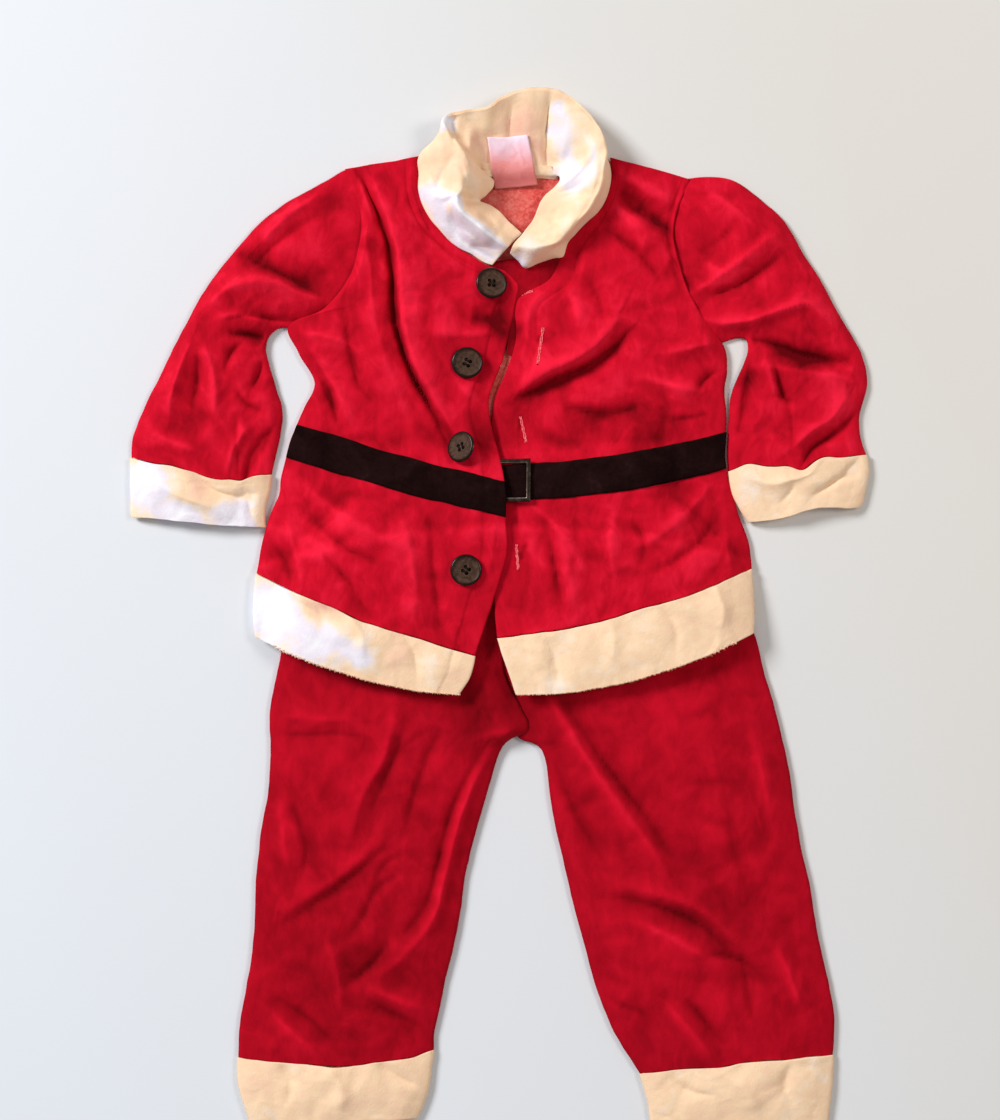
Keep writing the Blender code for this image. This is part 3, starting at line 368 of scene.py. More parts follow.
COLLAR = table(Station, [
    ((-3, 238.2, 5), (6.5, 250.5, 15), (15.5, 260, 9)),
    ((-10, 240.5, 5), (-4, 255, 19), (11, 264, 8)),
    ((-18, 245.5, 5), (-11, 260, 22), (7, 268, 8)),
    ((-28, 251, 5), (-19, 267, 24), (1, 275, 8)),
    ((-38, 260, 5), (-27, 274, 26), (-6, 280, 8)),
    ((-46, 269, 5), (-30, 281, 27), (-13, 283, 8)),
    ((-52, 280, 5), (-27, 287, 28), (-9, 286.5, 8)),
    ((-55, 291, 5), (-25, 295, 28), (-4, 292, 8)),
    ((-55, 302, 5), (-26, 305, 28), (-3, 297, 7)),
    ((-56, 312, 6), (-29, 316, 27), (-5, 300, 6)),
    ((-51, 319, 8), (-34, 326, 25), (-9, 302, 6)),
    ((-42, 325, 10), (-38.5, 336, 23), (-11, 303, 5)),
    ((-33, 320, 6), (-33.5, 342.5, 20), (-11, 303, 5)),
    ((-22, 305, 1.6), (-20, 345.5, 17), (-9, 302, 5)),
    ((-12, 303, 1.6), (-8, 348, 15), (-6, 301.5, 5)),
    ((-2, 302.5, 1.6), (1, 355, 14), (0, 301.3, 5)),
    ((8, 302.3, 1.6), (15, 360, 13), (9, 301, 5)),
    ((20, 302.3, 1.6), (28, 361.5, 13), (19, 301, 5)),
    ((32, 302.5, 1.6), (40, 360.5, 14), (29, 301, 5)),
    ((44, 304, 1.6), (50, 355, 15), (36, 301.3, 5)),
    ((54, 307, 2), (59, 347, 18), (40, 301.5, 5)),
    ((63, 311, 3), (67, 335, 21), (42, 301, 6)),
    ((70, 313, 4), (72.5, 323, 23), (42, 298, 7)),
    ((75, 312, 5), (74, 313, 24), (39, 294, 8)),
    ((77.5, 303, 5), (71.5, 303, 24), (35, 290, 8)),
    ((77, 294, 5), (69.5, 292.5, 24), (31.5, 286, 8)),
    ((73.5, 284, 5), (65, 282, 24), (29, 282, 8)),
    ((68, 275, 5), (59, 272, 24), (27, 277, 8)),
    ((60.5, 267.5, 5), (52, 264, 23), (25, 272, 9)),
    ((53, 260, 5), (46, 257.5, 21), (22, 267, 10)),
    ((47.5, 254, 5), (40, 252, 19), (18, 262, 13)),
    ((44, 244, 5), (29, 247.5, 19), (10, 252, 18)),
    ((38, 243, 4), (19, 236, 8), (7.5, 246, 12)),
])
COLLAR_CREASES = table(Fold, [
    ("left back hollow", -4, 5, 3, ((9, 308), (8, 330), (9, 354))),
    ("right back crease", -6, 2, 5, ((33, 306), (33, 330), (35, 358))),
    ("right back swell", 4, 5, 8, ((45, 314), (47, 332), (48, 350))),
    ("back middle swell", 2.5, 5, 6, ((22, 308), (21, 330), (21, 350))),
    ("left fold", 3.5, 4, 4, ((-17, 302), (-20, 316), (-20, 334))),
    ("left ear crease", -4, 2, 4, ((-31, 344), (-32, 330), (-31, 316))),
    ("left outer dent", -5, 3, 4, ((-33, 312), (-40, 300), (-44, 288))),
    ("left outer ridge", 3.5, 4, 3, ((-52, 302), (-46, 292), (-41, 283), (-31, 285))),
    ("under the ridge", -4, 3, 4, ((-44, 284), (-38, 281), (-29, 283))),
    ("left front crease", -4, 3, 3, ((-33, 276), (-31, 266), (-24, 257))),
    ("left front dent", -3.5, 4, 4, ((-20, 250), (-10, 250), (0, 248))),
    ("right inner dent", -4, 3, 5, ((46, 288), (56, 287), (64, 285))),
    ("right corner hollow", -4.5, 4, 5, ((36, 311), (48, 313), (58, 306))),
    ("right edge groove", -2.6, 1.4, 1.8, ((72, 318), (71, 303), (68, 291), (60, 274), (51, 262))),
    ("right front dent", -3, 4, 4, ((44, 280), (38, 272), (40, 260))),
    ("right end bend", 3, 3, 4, ((10, 250), (22, 249), (36, 250))),
    ("crest ridge", 2.4, 2.4, 2.8, ((-31, 282), (-26, 271.5), (-13, 260.5), (-2, 253), (5, 249))),
    ("under the crest", -2.6, 2.0, 3.0, ((-36, 273), (-31, 261), (-19, 250), (-5, 243))),
    ("front facet", 2.0, 1.6, 4.0, ((-29, 262), (-20, 256), (-13, 249))),
    ("inner pleat", -2.4, 1.6, 3.0, ((-33, 322), (-27, 308), (-22, 294), (-21, 282))),
    ("inner pleat ridge", 2.0, 2.0, 1.6, ((-28, 324), (-22, 310), (-17, 296), (-15, 284))),
    ("right facet", 2.0, 1.6, 4.5, ((67, 320), (60, 307), (50, 298), (41, 292))),
    ("right facet crease", -2.2, 1.6, 3.0, ((60, 296), (50, 291), (40, 289))),
    ("right lower crease", -2.0, 1.4, 3.0, ((58, 272), (46, 268), (34, 270))),
    ("end corner crease", -2.4, 1.5, 2.5, ((12, 249), (20, 244), (25, 239))),
])
NUDGES = table(Nudge, [
    ("left cuff seam high", 175, 96, 10, 0, 3.5),
    ("left cuff seam dip", 213, 98, 8, 0, -5),
    ("left cuff seam rise", 229, 101, 7, 0, 1.8),
    ("left cuff end lifted", 224, 63, 20, 0, 4.5),
    ("left cuff corner", 256, 68, 9, 3, 1.5),
    ("right cuff seam rise", -230, 99, 10, 0, 1.8),
    ("right cuff seam dip", -199, 93, 12, 0, -4.5),
    ("right cuff seam inner dip", -181, 91, 8, 0, -3.5),
    ("right cuff corner", -257, 62, 9, -1, -2),
    ("right cuff bulge", -161, 78, 9, 2.5, 0),
    ("right ankle seam", -110, -318, 20, 0, -2.5),
    ("right ankle corner", -49, -317, 9, 1.5, 3),
    ("left ankle seam", 150, -324, 16, 0, -2),
    ("right hem seam", -96, -2, 14, 0, -2),
    ("left hem seam", 96, 2, 16, 0, 2),
    ("left side", 160, 150, 10, -1.5, 0),
])
# Painted shade on the velour in hollows, beside creases, under the hem and at the buttonhole slits, and painted light
# where it is paler.
VELOUR_LIGHT_AND_SHADE = table(Patch, [
    ("chest brushed pale", -40, 205, 26, 0.10),
    ("chest pale", 40, 200, 20, 0.10),
    ("belly pale", 90, 156, 22, 0.10),
    ("belly dark", 62, 131, 14, -0.26),
    ("belly dark side", 106, 129, 17, -0.34),
    ("dark below the top button", -3, 199, 15, -0.24),
    ("dark placket", 7, 192, 9, -0.32),
    ("dark beside the long crease", -80, 180, 12, -0.12),
    ("dark shoulder", 112, 262, 12, -0.24),
    ("dark armhole", 128, 236, 9, -0.14),
    ("dark elbow", 210, 173, 16, -0.32),
    ("dark inner sleeve", 172, 160, 10, -0.24),
    ("dark cap", -166, 238, 14, -0.06),
    ("dark cap inside", -138, 226, 10, -0.10),
    ("dark right elbow", -172, 190, 13, -0.20),
    ("pale wrist", 234, 147, 16, 0.26),
    ("dark forearm", -211, 130, 12, -0.16),
    ("dark shank", -110, -250, 44, -0.11),
    ("pale thigh", 128, -85, 26, 0.10),
    ("dark calf", 150, -215, 26, -0.10),
    ("pale knee", 110, -240, 16, 0.08),
    ("dark under the hem", 0, -70, 26, -0.22),
    ("dark side", -150, 150, 12, -0.14),
    ("dark skirt", -92, 10, 16, -0.10),
    ("second slit", 31, 186, 4, -0.35),
    ("third slit", 16, 127, 3, -0.30),
    ("fourth slit", 13, 36, 3, -0.30),
])
# Painted light and shade on the fleece: white where the cool light falls, with lilac and peach painted shade in hollows
# and turned-away faces.
FLEECE_LIGHT_AND_SHADE = table(Patch, [
    ("hem white end", -160, -6, 20, 1.1),
    ("hem white middle", -122, -26, 17, 0.8),
    ("hem white streak", -96, -38, 12, 0.6),
    ("hem peach", -122, -2, 10, -0.75),
    ("hem pink", -64, -40, 14, -0.1),
    ("left hem white", 40, -58, 10, 0.25),
    ("cuff white end", -250, 86, 14, 1.1),
    ("cuff white low", -226, 62, 17, 0.8),
    ("cuff peach", -212, 82, 12, -0.35),
    ("cuff white inner", -184, 60, 17, 0.8),
    ("left cuff lilac", 172, 78, 10, 0.22),
    ("collar lilac front", -22, 256, 12, 0.45),
    ("collar lilac front end", -6, 246, 8, 0.4),
    ("collar white side", -47, 285, 11, 0.7),
    ("collar white low side", -38, 268, 8, 0.7),
    ("collar cream side", -46, 310, 11, -0.1),
    ("collar white corner", -37, 335, 5.5, 0.8),
    ("collar peach fold", -27, 302, 8, -0.25),
    ("collar peach left", -14, 322, 8, -0.4),
    ("collar peach back", 13, 336, 13, -0.42),
    ("collar peach back low", 26, 322, 9, -0.42),
    ("collar white back", 41, 348, 7, 0.7),
    ("collar lilac back", 42, 332, 9, 0.5),
    ("collar lilac back low", 44, 316, 9, 0.42),
    ("collar pink right", 52, 300, 12, 0.5),
    ("collar pink end", 20, 249, 9, 0.4),
    ("collar lilac end corner", 12, 240, 6, 0.45),
])
# Painted highlights along the collar's crest and edges, with a little painted shade in the hollow beside the crest.
FLEECE_LIGHT_STREAKS = table(Fold, [
    ("crest", 1.15, 2.8, 3.4, ((-46, 289), (-41, 287.5), (-29, 281.5), (-26, 271), (-13, 260.5),
     (-1.5, 253), (5, 249))),
    ("below the crest", 0.45, 3, 5, ((-35, 270), (-28, 257), (-15, 248), (0, 242))),
    ("left edge of the ear", 0.9, 1.8, 1.8, ((-41, 327), (-37, 334), (-36, 340))),
    ("hollow beside the crest", -0.15, 2.5, 3, ((-24, 284), (-19, 272), (-6, 262))),
    ("right inner edge", 0.5, 3, 3, ((58, 330), (66, 316), (62, 300), (50, 286))),
])
FACING = (((-8, 240), (0, 231), (4, 219), (2, 206), (3, 192), (6, 176)),
          ((47, 250), (44, 242), (39, 231), (30, 220), (25, 200), (14, 171)))
NECK_TAPE = ((-13, 309.5), (37, 308), (41.5, 299.4), (-11, 300))
LABEL = ((-8.5, 326.5), (20.5, 329), (27, 294.5), (-2.5, 292))
BUTTONS = table(Button, [
    ("button_1", -5.5, 225, 4),
    ("button_2", -22.5, 169, -4),
    ("button_3", -25, 109, -20),
    ("button_4", -23, 24, 3),
])
BUTTONHOLES = table(Mark, [
    ("buttonhole_1", 14, 217, 24, 220),
    ("buttonhole_2", 31, 194, 27, 168),
    ("buttonhole_3", 15, 132, 19, 114),
    ("buttonhole_4", 12, 42, 13.5, 24),
])
LIGHTS = table(Light, [
    ("window", (-3.15, 2.05, 2.55), 1.5, 203, (0.94, 0.97, 1.0)),
    ("lamp", (1.9, 0.6, 2.0), 0.9, 20, (1.0, 0.93, 0.84)),
])

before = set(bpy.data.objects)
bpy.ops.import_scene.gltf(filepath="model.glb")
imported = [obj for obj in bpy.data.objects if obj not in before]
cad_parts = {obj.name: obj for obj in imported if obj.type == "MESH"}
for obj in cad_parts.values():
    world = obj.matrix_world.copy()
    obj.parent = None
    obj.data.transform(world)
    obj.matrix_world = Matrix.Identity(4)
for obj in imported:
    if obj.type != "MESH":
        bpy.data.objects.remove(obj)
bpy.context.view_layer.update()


def smooth_step(share):
    share = np.clip(share, 0.0, 1.0)
    return share * share * (3.0 - 2.0 * share)


def carried(rows, steps):
    """Rows of numbers carried down a table on a smooth curve, with steps between each two."""
    rows = np.array(rows, float)
    count = len(rows)
    t = np.linspace(0, count - 1, (count - 1) * steps + 1)
    i = np.minimum(t.astype(int), count - 2)
    f = (t - i).reshape((-1,) + (1,) * (rows.ndim - 1))
    before = rows[np.maximum(i - 1, 0)]
    here = rows[i]
    there = rows[i + 1]
    after = rows[np.minimum(i + 2, count - 1)]
    bend = (2 * before - 5 * here + 4 * there - after) * f ** 2
    twist = (3 * here - before - 3 * there + after) * f ** 3
    return here + ((there - before) * f + bend + twist) * 0.5


def crown(share, flat_from=1.0, power=0.55):
    """Height of a rounded layer across its width; it lies flat beyond flat_from."""
    return np.clip(np.sin(np.pi * np.minimum(share / flat_from, 1.0)), 0.0, 1.0) ** power


def fold_lift(x, y, folds):
    """How far the folds lift the cloth, or lower it, at every point of a grid."""
    lift = np.zeros_like(x)
    for fold in folds:
        path = carried(fold.path, 5)
        lengths = np.hypot(*np.diff(path, axis=0).T)
        total = lengths.sum()
        power = 1.2 if fold.height > 0 else 1.0
        nearest = np.full(x.shape, 1e9)
        profile = np.zeros_like(x)
        walked = 0.0
        for start, end, length in zip(path[:-1], path[1:], lengths):
            run = (end - start) / length
            reach_x = x - start[0]
            reach_y = y - start[1]
            along = np.clip(reach_x * run[0] + reach_y * run[1], 0.0, length)
            off_x = reach_x - run[0] * along
            off_y = reach_y - run[1] * along
            distance = np.hypot(off_x, off_y)
            left = run[0] * off_y - run[1] * off_x > 0
            width = np.where(left, fold.left_width, fold.right_width)
            fade = np.sin(np.pi * (0.03 + 0.94 * np.clip((walked + along) / total, 0, 1))) ** 0.6
            profile = np.where(distance < nearest, fade * np.exp(-(distance / width) ** power), profile)
            nearest = np.minimum(nearest, distance)
            walked += length
        lift += fold.height * profile
    return lift


def rumple(x, y, size, seed):
    """Smooth uneven waves, from -1 to 1, about size millimetres across."""
    flat = [noise.noise(Vector((a / size, b / size, seed))) for a, b in zip(x.ravel(), y.ravel())]
    return np.array(flat).reshape(x.shape)


def wrinkles(x, y, seed):
    """Soft dents with a few narrow raised lines between them, in millimetres."""
    bent_x = x + 9 * rumple(x, y, 45, seed + 3)
    bent_y = y + 9 * rumple(x, y, 45, seed + 7)
    wide = rumple(bent_x, bent_y, 34, seed)
    lines = (1 - np.abs(rumple(bent_x, bent_y, 30, seed + 11)) * 2.4).clip(0, 1) ** 2
    fine = (1 - np.abs(rumple(bent_x, bent_y, 14, seed + 19)) * 2.6).clip(0, 1) ** 2
    cells = [noise.voronoi(Vector((a / 27, b / 27, seed)))[0] for a, b in zip(bent_x.ravel(), bent_y.ravel())]
    apart = np.array([near[1] - near[0] for near in cells]).reshape(x.shape)
    dents = 1.3 * np.minimum(apart, 0.4)
    return 1.7 * wide + 0.8 * rumple(bent_x, bent_y, 16, seed + 5) + 0.6 * lines + 0.3 * fine + 1.7 * dents


def blurred(values, reach):
    """Values averaged over a square of cells round each one."""
    for axis in (0, 1):
        padding = [(0, 0), (0, 0)]
        padding[axis] = (reach + 1, reach)
        sums = np.cumsum(np.pad(values, padding, mode="edge"), axis=axis)
        count = values.shape[axis]
        high = np.take(sums, range(2 * reach + 1, 2 * reach + 1 + count), axis=axis)
        low = np.take(sums, range(0, count), axis=axis)
        values = (high - low) / (2 * reach + 1)
    return values


def spread(count):
    """Places across a piece, from 0 to 1, a little closer together at its edges."""
    even = np.linspace(0, 1, count + 1)
    return 0.55 * even + 0.45 * (1 - np.cos(np.pi * even)) / 2


def closeness(x, y, spot):
    """1 at the middle of a patch or a nudge, falling away past its reach."""
    return np.exp(-((x - spot.x) ** 2 + (y - spot.y) ** 2) / spot.reach ** 2)


RIGHT_SIDE, LEFT_SIDE = (
    np.array([(section.side_y, section.side_x) for section in leg[::-1]], float) for leg in (LEG_RIGHT, LEG_LEFT))


def bed(x, y):
    """Height of what the jacket lies on: the trousers' upper part, or the bare surface."""
    right, left = (np.interp(y, side[:, 0], side[:, 1]) for side in (RIGHT_SIDE, LEFT_SIDE))
    inside = np.minimum(np.minimum(x - right, left - x), TROUSERS_TOP - y)
    rise = np.clip((inside + DRAPE_OUTSIDE) / DRAPE, 0, 1)
    return (TROUSERS_HEIGHT + 1.6 * smooth_step(-y / 45.0)) * np.sin(np.pi / 2 * rise)


def back_hem_line(x):
    """Where the back panel ends and its hem band begins."""
    right, left = FRONT_RIGHT[-1], FRONT_LEFT[-1]
    share = np.clip((x - right.side_x) / (left.side_x - right.side_x), 0, 1)
    return right.side_y + (left.side_y - right.side_y) * share + BACK_HEM_RISE * 4 * share * (1 - share)


def over_jacket_back(x, y):
    return bed(x, y) + 1.5 + 2.0 * smooth_step((back_hem_line(x) + 10 - y) / 8)


def over_hem_back(x, y):
    return bed(x, y) + 4.0


def over_leg_back(x, y):
    return np.full_like(x, 1.5)


def linked(name, data):
    """A new object for a mesh, a light or a camera, in the scene."""
    made = bpy.data.objects.new(name, data)
    bpy.context.collection.objects.link(made)
    return made


def float_attribute(mesh, name, values):
    made = mesh.attributes.new(name, "FLOAT", "POINT")
    made.data.foreach_set("value", values)


def cloth(name, x, y, z, round_about=False):
    """A fine grid of cloth as a mesh in metres, with its painted light and shade as attributes."""
    rows, columns = x.shape
    pull_x = 1.1 * rumple(x, y, 31, 201.0) + 0.35 * rumple(x, y, 9, 203.0)
    pull_y = 1.1 * rumple(x, y, 31, 207.0) + 0.35 * rumple(x, y, 9, 209.0)
    for nudge in NUDGES:
        near = closeness(x, y, nudge)
        pull_x += nudge.right * near
        pull_y += nudge.up * near
    points = np.stack([x + pull_x, y + pull_y, z], axis=-1).reshape(-1, 3) * MM
    i, j = np.meshgrid(np.arange(rows - 1), np.arange(columns if round_about else columns - 1), indexing="ij")
    k = (j + 1) % columns
    faces = np.stack([i * columns + j, i * columns + k, (i + 1) * columns + k, (i + 1) * columns + j], -1)
    mesh = bpy.data.meshes.new(name)
    mesh.from_pydata(points.tolist(), [], faces.reshape(-1, 4).tolist())
    # Painted shade darkens the velour in creases and hollows. Ridges are lighter, partly rubbed pile and partly painted
    # light.
    relief = z - blurred(z, 3)
    broad = z - blurred(z, 10)
    bent_x = x + 7 * rumple(x, y, 14, 301.0) + 3 * rumple(x, y, 5, 303.0)
    bent_y = y + 7 * rumple(x, y, 14, 305.0) + 3 * rumple(x, y, 5, 307.0)
    pile_and_shade = 0.5 + np.clip(0.05 * relief + 0.06 * broad, -0.32, 0.2)
    tone = np.zeros_like(x)
    for values, patches in ((pile_and_shade, VELOUR_LIGHT_AND_SHADE), (tone, FLEECE_LIGHT_AND_SHADE)):
        for patch in patches:
            values += patch.tone * closeness(bent_x, bent_y, patch)
    tone += fold_lift(x, y, FLEECE_LIGHT_STREAKS)
    for label, values in (("pile_and_shade", pile_and_shade), ("tone", 0.5 + 0.5 * tone)):
        float_attribute(mesh, label, np.clip(values, 0, 1).ravel().astype(np.float32))
    mesh.polygons.foreach_set("use_smooth", [True] * len(mesh.polygons))
    return linked(name, mesh)


def turn_faces(piece, outward):
    """Turn the faces outward on a closed form, or else upward."""
    shape = bmesh.new()
    shape.from_mesh(piece.data)
    shape.normal_update()
    if outward:
        bmesh.ops.recalc_face_normals(shape, faces=shape.faces)
    elif sum(face.normal.z for face in shape.faces) < 0:
        bmesh.ops.reverse_faces(shape, faces=shape.faces)
    shape.to_mesh(piece.data)
    shape.free()


def pick(*pieces):
    bpy.ops.object.select_all(action="DESELECT")
    for piece in pieces:
        piece.select_set(True)
    bpy.context.view_layer.objects.active = pieces[0]


def thicken(piece, thickness, back=None):
    """Give a sheet its wall, inwards from the face that shows; back is the material of its reverse."""
    pick(piece)
    wall = piece.modifiers.new("wall", "SOLIDIFY")
    wall.thickness = thickness * MM
    wall.offset = -1.0
    if back is not None:
        piece.data.materials.append(back)
        wall.material_offset = 1
    bpy.ops.object.modifier_apply(modifier=wall.name)
    piece.data.polygons.foreach_set("use_smooth", [True] * len(piece.data.polygons))


def own(piece, slot, *nodes):
    """Hang a piece from the root and hide the frame's nodes that it stands for; slot, the finish it stands for, is not
    used.
    """
    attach(piece, "root")
    if nodes:
        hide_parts(*nodes)
    return piece


def sew(name, grids, thickness, finish, slot, nodes=(), reverse=None, closed=False, outward=False):
    """A cloth piece from the grids of its outer face, with its wall, its finish and what it stands for."""
    piece = cloth(name, *grids, round_about=closed)
    turn_faces(piece, outward)
    piece.data.materials.append(finish)
    thicken(piece, thickness, reverse)
    return own(piece, slot, *nodes)


def sew_panel(name, grids, thickness, finish, slot, nodes=(), reverse=None):
    """A panel, sewn from the grids of its face."""
    piece = sew(name, grids, thickness, finish, slot, nodes, reverse)
    return piece


def sew_tube(name, grids, thickness, finish, slot, nodes=()):
    """A flattened tube, sewn closed round each row with its faces turned outward."""
    piece = sew(name, grids, thickness, finish, slot, nodes, closed=True, outward=True)
    return piece


def panel(sections, columns, floor, thickness, folds=(), seed=1.0, flat_from=0.9, depth=1.0, fine=FINE):
    """The top face of a panel as grids of x, y and z."""
    rows = carried([section[1:] for section in sections], fine)
    side_x, side_y, inner_x, inner_y, bow, dome, side_rise, inner_rise = (rows[:, k:k + 1] for k in range(8))
    share = spread(columns)[None, :]
    x = side_x + (inner_x - side_x) * share
    y = side_y + (inner_y - side_y) * share + bow * 4 * share * (1 - share)
    edge = smooth_step(np.minimum(share, 1 - share) * 9)
    lift = side_rise * (1 - smooth_step(share / 0.35)) + inner_rise * smooth_step((share - 0.76) / 0.14)
    lift = lift + dome * crown(share, flat_from)
    uneven = FOLD_SCALE * fold_lift(x, y, folds) + depth * wrinkles(x, y, seed)
    lift = np.maximum(lift + uneven * edge, 0.25)
    width = np.abs(inner_x - side_x)
    turned = np.clip(1 - (1 - share) * width / 2.2, 0, 1) ** 2 + np.clip(1 - share * width / 2.2, 0, 1) ** 2
    z = floor(x, y) + thickness + SEAM + lift - 0.5 * np.minimum(turned, 1)
    return x, y, z


def armhole(sections):
    """The sleeve's seam, just off the panel's armhole edge, as points from shoulder to underarm."""
    edge = carried([section[1:3] for section in sections], 16)[:65]
    run = np.gradient(edge, axis=0)
    side = np.stack([run[:, 1], -run[:, 0]], -1) / np.hypot(*run.T)[:, None]
    if side[32, 0] * edge[0, 0] < 0:
        side = -side
    return edge - side * 2.2


def tube(sections, columns, thickness, folds=(), seed=1.0, first=None, depth=1.0, fine=FINE):
    """A flattened tube's outside as closed rows of points: over the front, then back underneath."""
    share = spread(columns)
    lines = []
    for section in sections:
        x = section.outer_x + (section.under_x - section.outer_x) * share
        y = section.outer_y + (section.under_y - section.outer_y) * share
        lines.append(np.stack([x, y + section.bow * 4 * share * (1 - share)], -1))
    domes = [section.dome for section in sections]
    if first is not None:
        places = np.linspace(0, 1, len(first))
        lines.insert(0, np.stack([np.interp(share, places, first[:, k]) for k in (0, 1)], -1))
        domes.insert(0, 1.6)
    grid = carried(lines, fine)
    dome = carried([[value] for value in domes], fine)
    x, y = grid[..., 0], grid[..., 1]
    across = np.broadcast_to(share[None, :], x.shape)
    edge = smooth_step(np.minimum(across, 1 - across) * 9)
    uneven = FOLD_SCALE * fold_lift(x, y, folds) + depth * wrinkles(x, y, seed)
    middle = thickness + 0.5
    top = middle + (dome + thickness - 0.5) * crown(across, 1.0, 0.5)
    top = np.maximum(top + uneven * edge, np.minimum(2 * thickness + 0.4, top))
    under = slice(-2, 0, -3)
    low = middle * (1 - crown(across[:, under], 1.0, 0.35))
    return (np.hstack([x, x[:, under]]), np.hstack([y, y[:, under]]), np.hstack([top, low]))


def shade(name, rough, **sockets):
    """A new material with its shader's plain sockets set."""
    made = bpy.data.materials.new(name)
    made.use_nodes = True
    shader = made.node_tree.nodes["Principled BSDF"]
    shader.inputs["Roughness"].default_value = rough
    for socket, value in sockets.items():
        shader.inputs[socket.replace("_", " ")].default_value = value
    return made, made.node_tree, shader


def worn(tree, name):
    """One of a mesh's own attributes."""
    node = tree.nodes.new("ShaderNodeAttribute")
    node.attribute_name = name
    return node.outputs["Fac"]


def along(tree, axis):
    """How far along an axis a point of the piece is, in metres."""
    place = tree.nodes.new("ShaderNodeTexCoord")
    split = tree.nodes.new("ShaderNodeSeparateXYZ")
    tree.links.new(place.outputs["Object"], split.inputs["Vector"])
    return split.outputs[axis]


def add_noise(tree, size, detail=3.0, distortion=0.0, stretch=(1, 1, 1), rough=0.5):
    """Noise on the piece's own coordinates; size is millimetres a wave."""
    place = tree.nodes.new("ShaderNodeTexCoord")
    mapping = tree.nodes.new("ShaderNodeMapping")
    mapping.inputs["Scale"].default_value = stretch
    made = tree.nodes.new("ShaderNodeTexNoise")
    made.inputs["Scale"].default_value = 1000.0 / size
    made.inputs["Detail"].default_value = detail
    made.inputs["Roughness"].default_value = rough
    made.inputs["Distortion"].default_value = distortion
    tree.links.new(place.outputs["Object"], mapping.inputs["Vector"])
    tree.links.new(mapping.outputs["Vector"], made.inputs["Vector"])
    return made.outputs["Fac"]


def join(tree, operation, first, second):
    node = tree.nodes.new("ShaderNodeMath")
    node.operation = operation
    for socket, value in zip(node.inputs, (first, second)):
        if isinstance(value, (int, float)):
            socket.default_value = value
        else:
            tree.links.new(value, socket)
    return node.outputs[0]


def scaled(tree, value, strength):
    return join(tree, "MULTIPLY", value, strength)


def swung(tree, value, strength):
    """A value about a half made one about nothing, times a strength."""
    return scaled(tree, join(tree, "SUBTRACT", value, 0.5), strength)


def total(tree, first, *others):
    for other in others:
        first = join(tree, "ADD", first, other)
    return first


def paint(tree, shader, value, *stops):
    """The shader's colour from a value, through stops of place and colour."""
    node = tree.nodes.new("ShaderNodeValToRGB")
    while len(node.color_ramp.elements) < len(stops):
        node.color_ramp.elements.new(0.5)
    for element, (place, colour) in zip(node.color_ramp.elements, stops):
        element.position = place
        element.color = (*colour, 1.0)
    tree.links.new(value, node.inputs["Fac"])
    tree.links.new(node.outputs["Color"], shader.inputs["Base Color"])


def rough_up(tree, shader, *layers):
    """Bump on the shader's normal in layers, each a height, its depth in millimetres and its strength."""
    under = None
    for height, distance, strength in layers:
        bump = tree.nodes.new("ShaderNodeBump")
        bump.inputs["Distance"].default_value = distance * MM
        bump.inputs["Strength"].default_value = strength
        tree.links.new(height, bump.inputs["Height"])
        if under is not None:
            tree.links.new(under, bump.inputs["Normal"])
        under = bump.outputs["Normal"]
    tree.links.new(under, shader.inputs["Normal"])


def velour_finish(name, lean=0.0, brushed=1.0):
    """Red velour: a short pile, light where it is brushed up, with painted shade making it dark in the dents and
    creases.
    """
    made, tree, shader = shade(name, 0.85, Specular_IOR_Level=0.04, Sheen_Weight=0.16, Sheen_Roughness=0.4,
                               Sheen_Tint=(1.0, 0.13, 0.24, 1.0))
    clouds = add_noise(tree, 40, 3.0, 1.0)
    streaks = add_noise(tree, 11, 4.0, 1.6, (1.0, 0.5, 1.0), 0.6)
    value = total(tree, worn(tree, "pile_and_shade"), scaled(tree, clouds, 0.46 * brushed),
                  scaled(tree, streaks, 0.34 * brushed), 0.40 * (1 - brushed) - 0.40 + lean)
    paint(tree, shader, value, (0.10, (0.13, 0.0006, 0.003)), (0.34, (0.36, 0.0020, 0.010)),
          (0.55, (0.60, 0.0042, 0.020)), (0.80, (0.88, 0.014, 0.046)))
    rough_up(tree, shader, (add_noise(tree, 3.2, 3.0, 0.6), 0.5, 0.3), (add_noise(tree, 0.7, 2.0), 0.22, 0.3))
    return made


def terry_finish():
    """The velour's looped coral reverse."""
    made, tree, shader = shade("terry_reverse", 0.95, Specular_IOR_Level=0.05, Sheen_Weight=0.1)
    value = total(tree, scaled(tree, add_noise(tree, 2.2, 3.0, 0.5), 0.8), scaled(tree, add_noise(tree, 18, 2.0), 0.5))
    paint(tree, shader, value, (0.38, (0.58, 0.045, 0.04)), (0.62, (0.76, 0.11, 0.09)), (0.85, (0.86, 0.22, 0.18)))
    rough_up(tree, shader, (add_noise(tree, 1.5, 2.0), 0.5, 0.7))
    return made


def fleece_finish(name, white=0.0):
    """Cream fleece with painted light and shade: peach painted shade in its hollows, bluish white painted light where
    the cool light falls.
    """
    made, tree, shader = shade(name, 0.9, Specular_IOR_Level=0.06, Sheen_Weight=0.12, Sheen_Roughness=0.5)
    value = total(tree, swung(tree, add_noise(tree, 30, 2.0, 0.8), 0.35 + white),
                  swung(tree, add_noise(tree, 6, 3.0, 0.5), 0.22), worn(tree, "tone"))
    paint(tree, shader, value, (0.10, (0.76, 0.38, 0.29)), (0.36, (0.93, 0.59, 0.41)), (0.52, (0.96, 0.68, 0.44)),
          (0.64, (0.95, 0.77, 0.62)), (0.75, (0.86, 0.78, 0.86)), (0.93, (0.93, 0.90, 0.93)))
    rough_up(tree, shader, (add_noise(tree, 3.0, 4.0, 0.8), 0.7, 0.4), (add_noise(tree, 0.8, 2.0), 0.3, 0.45))
    return made


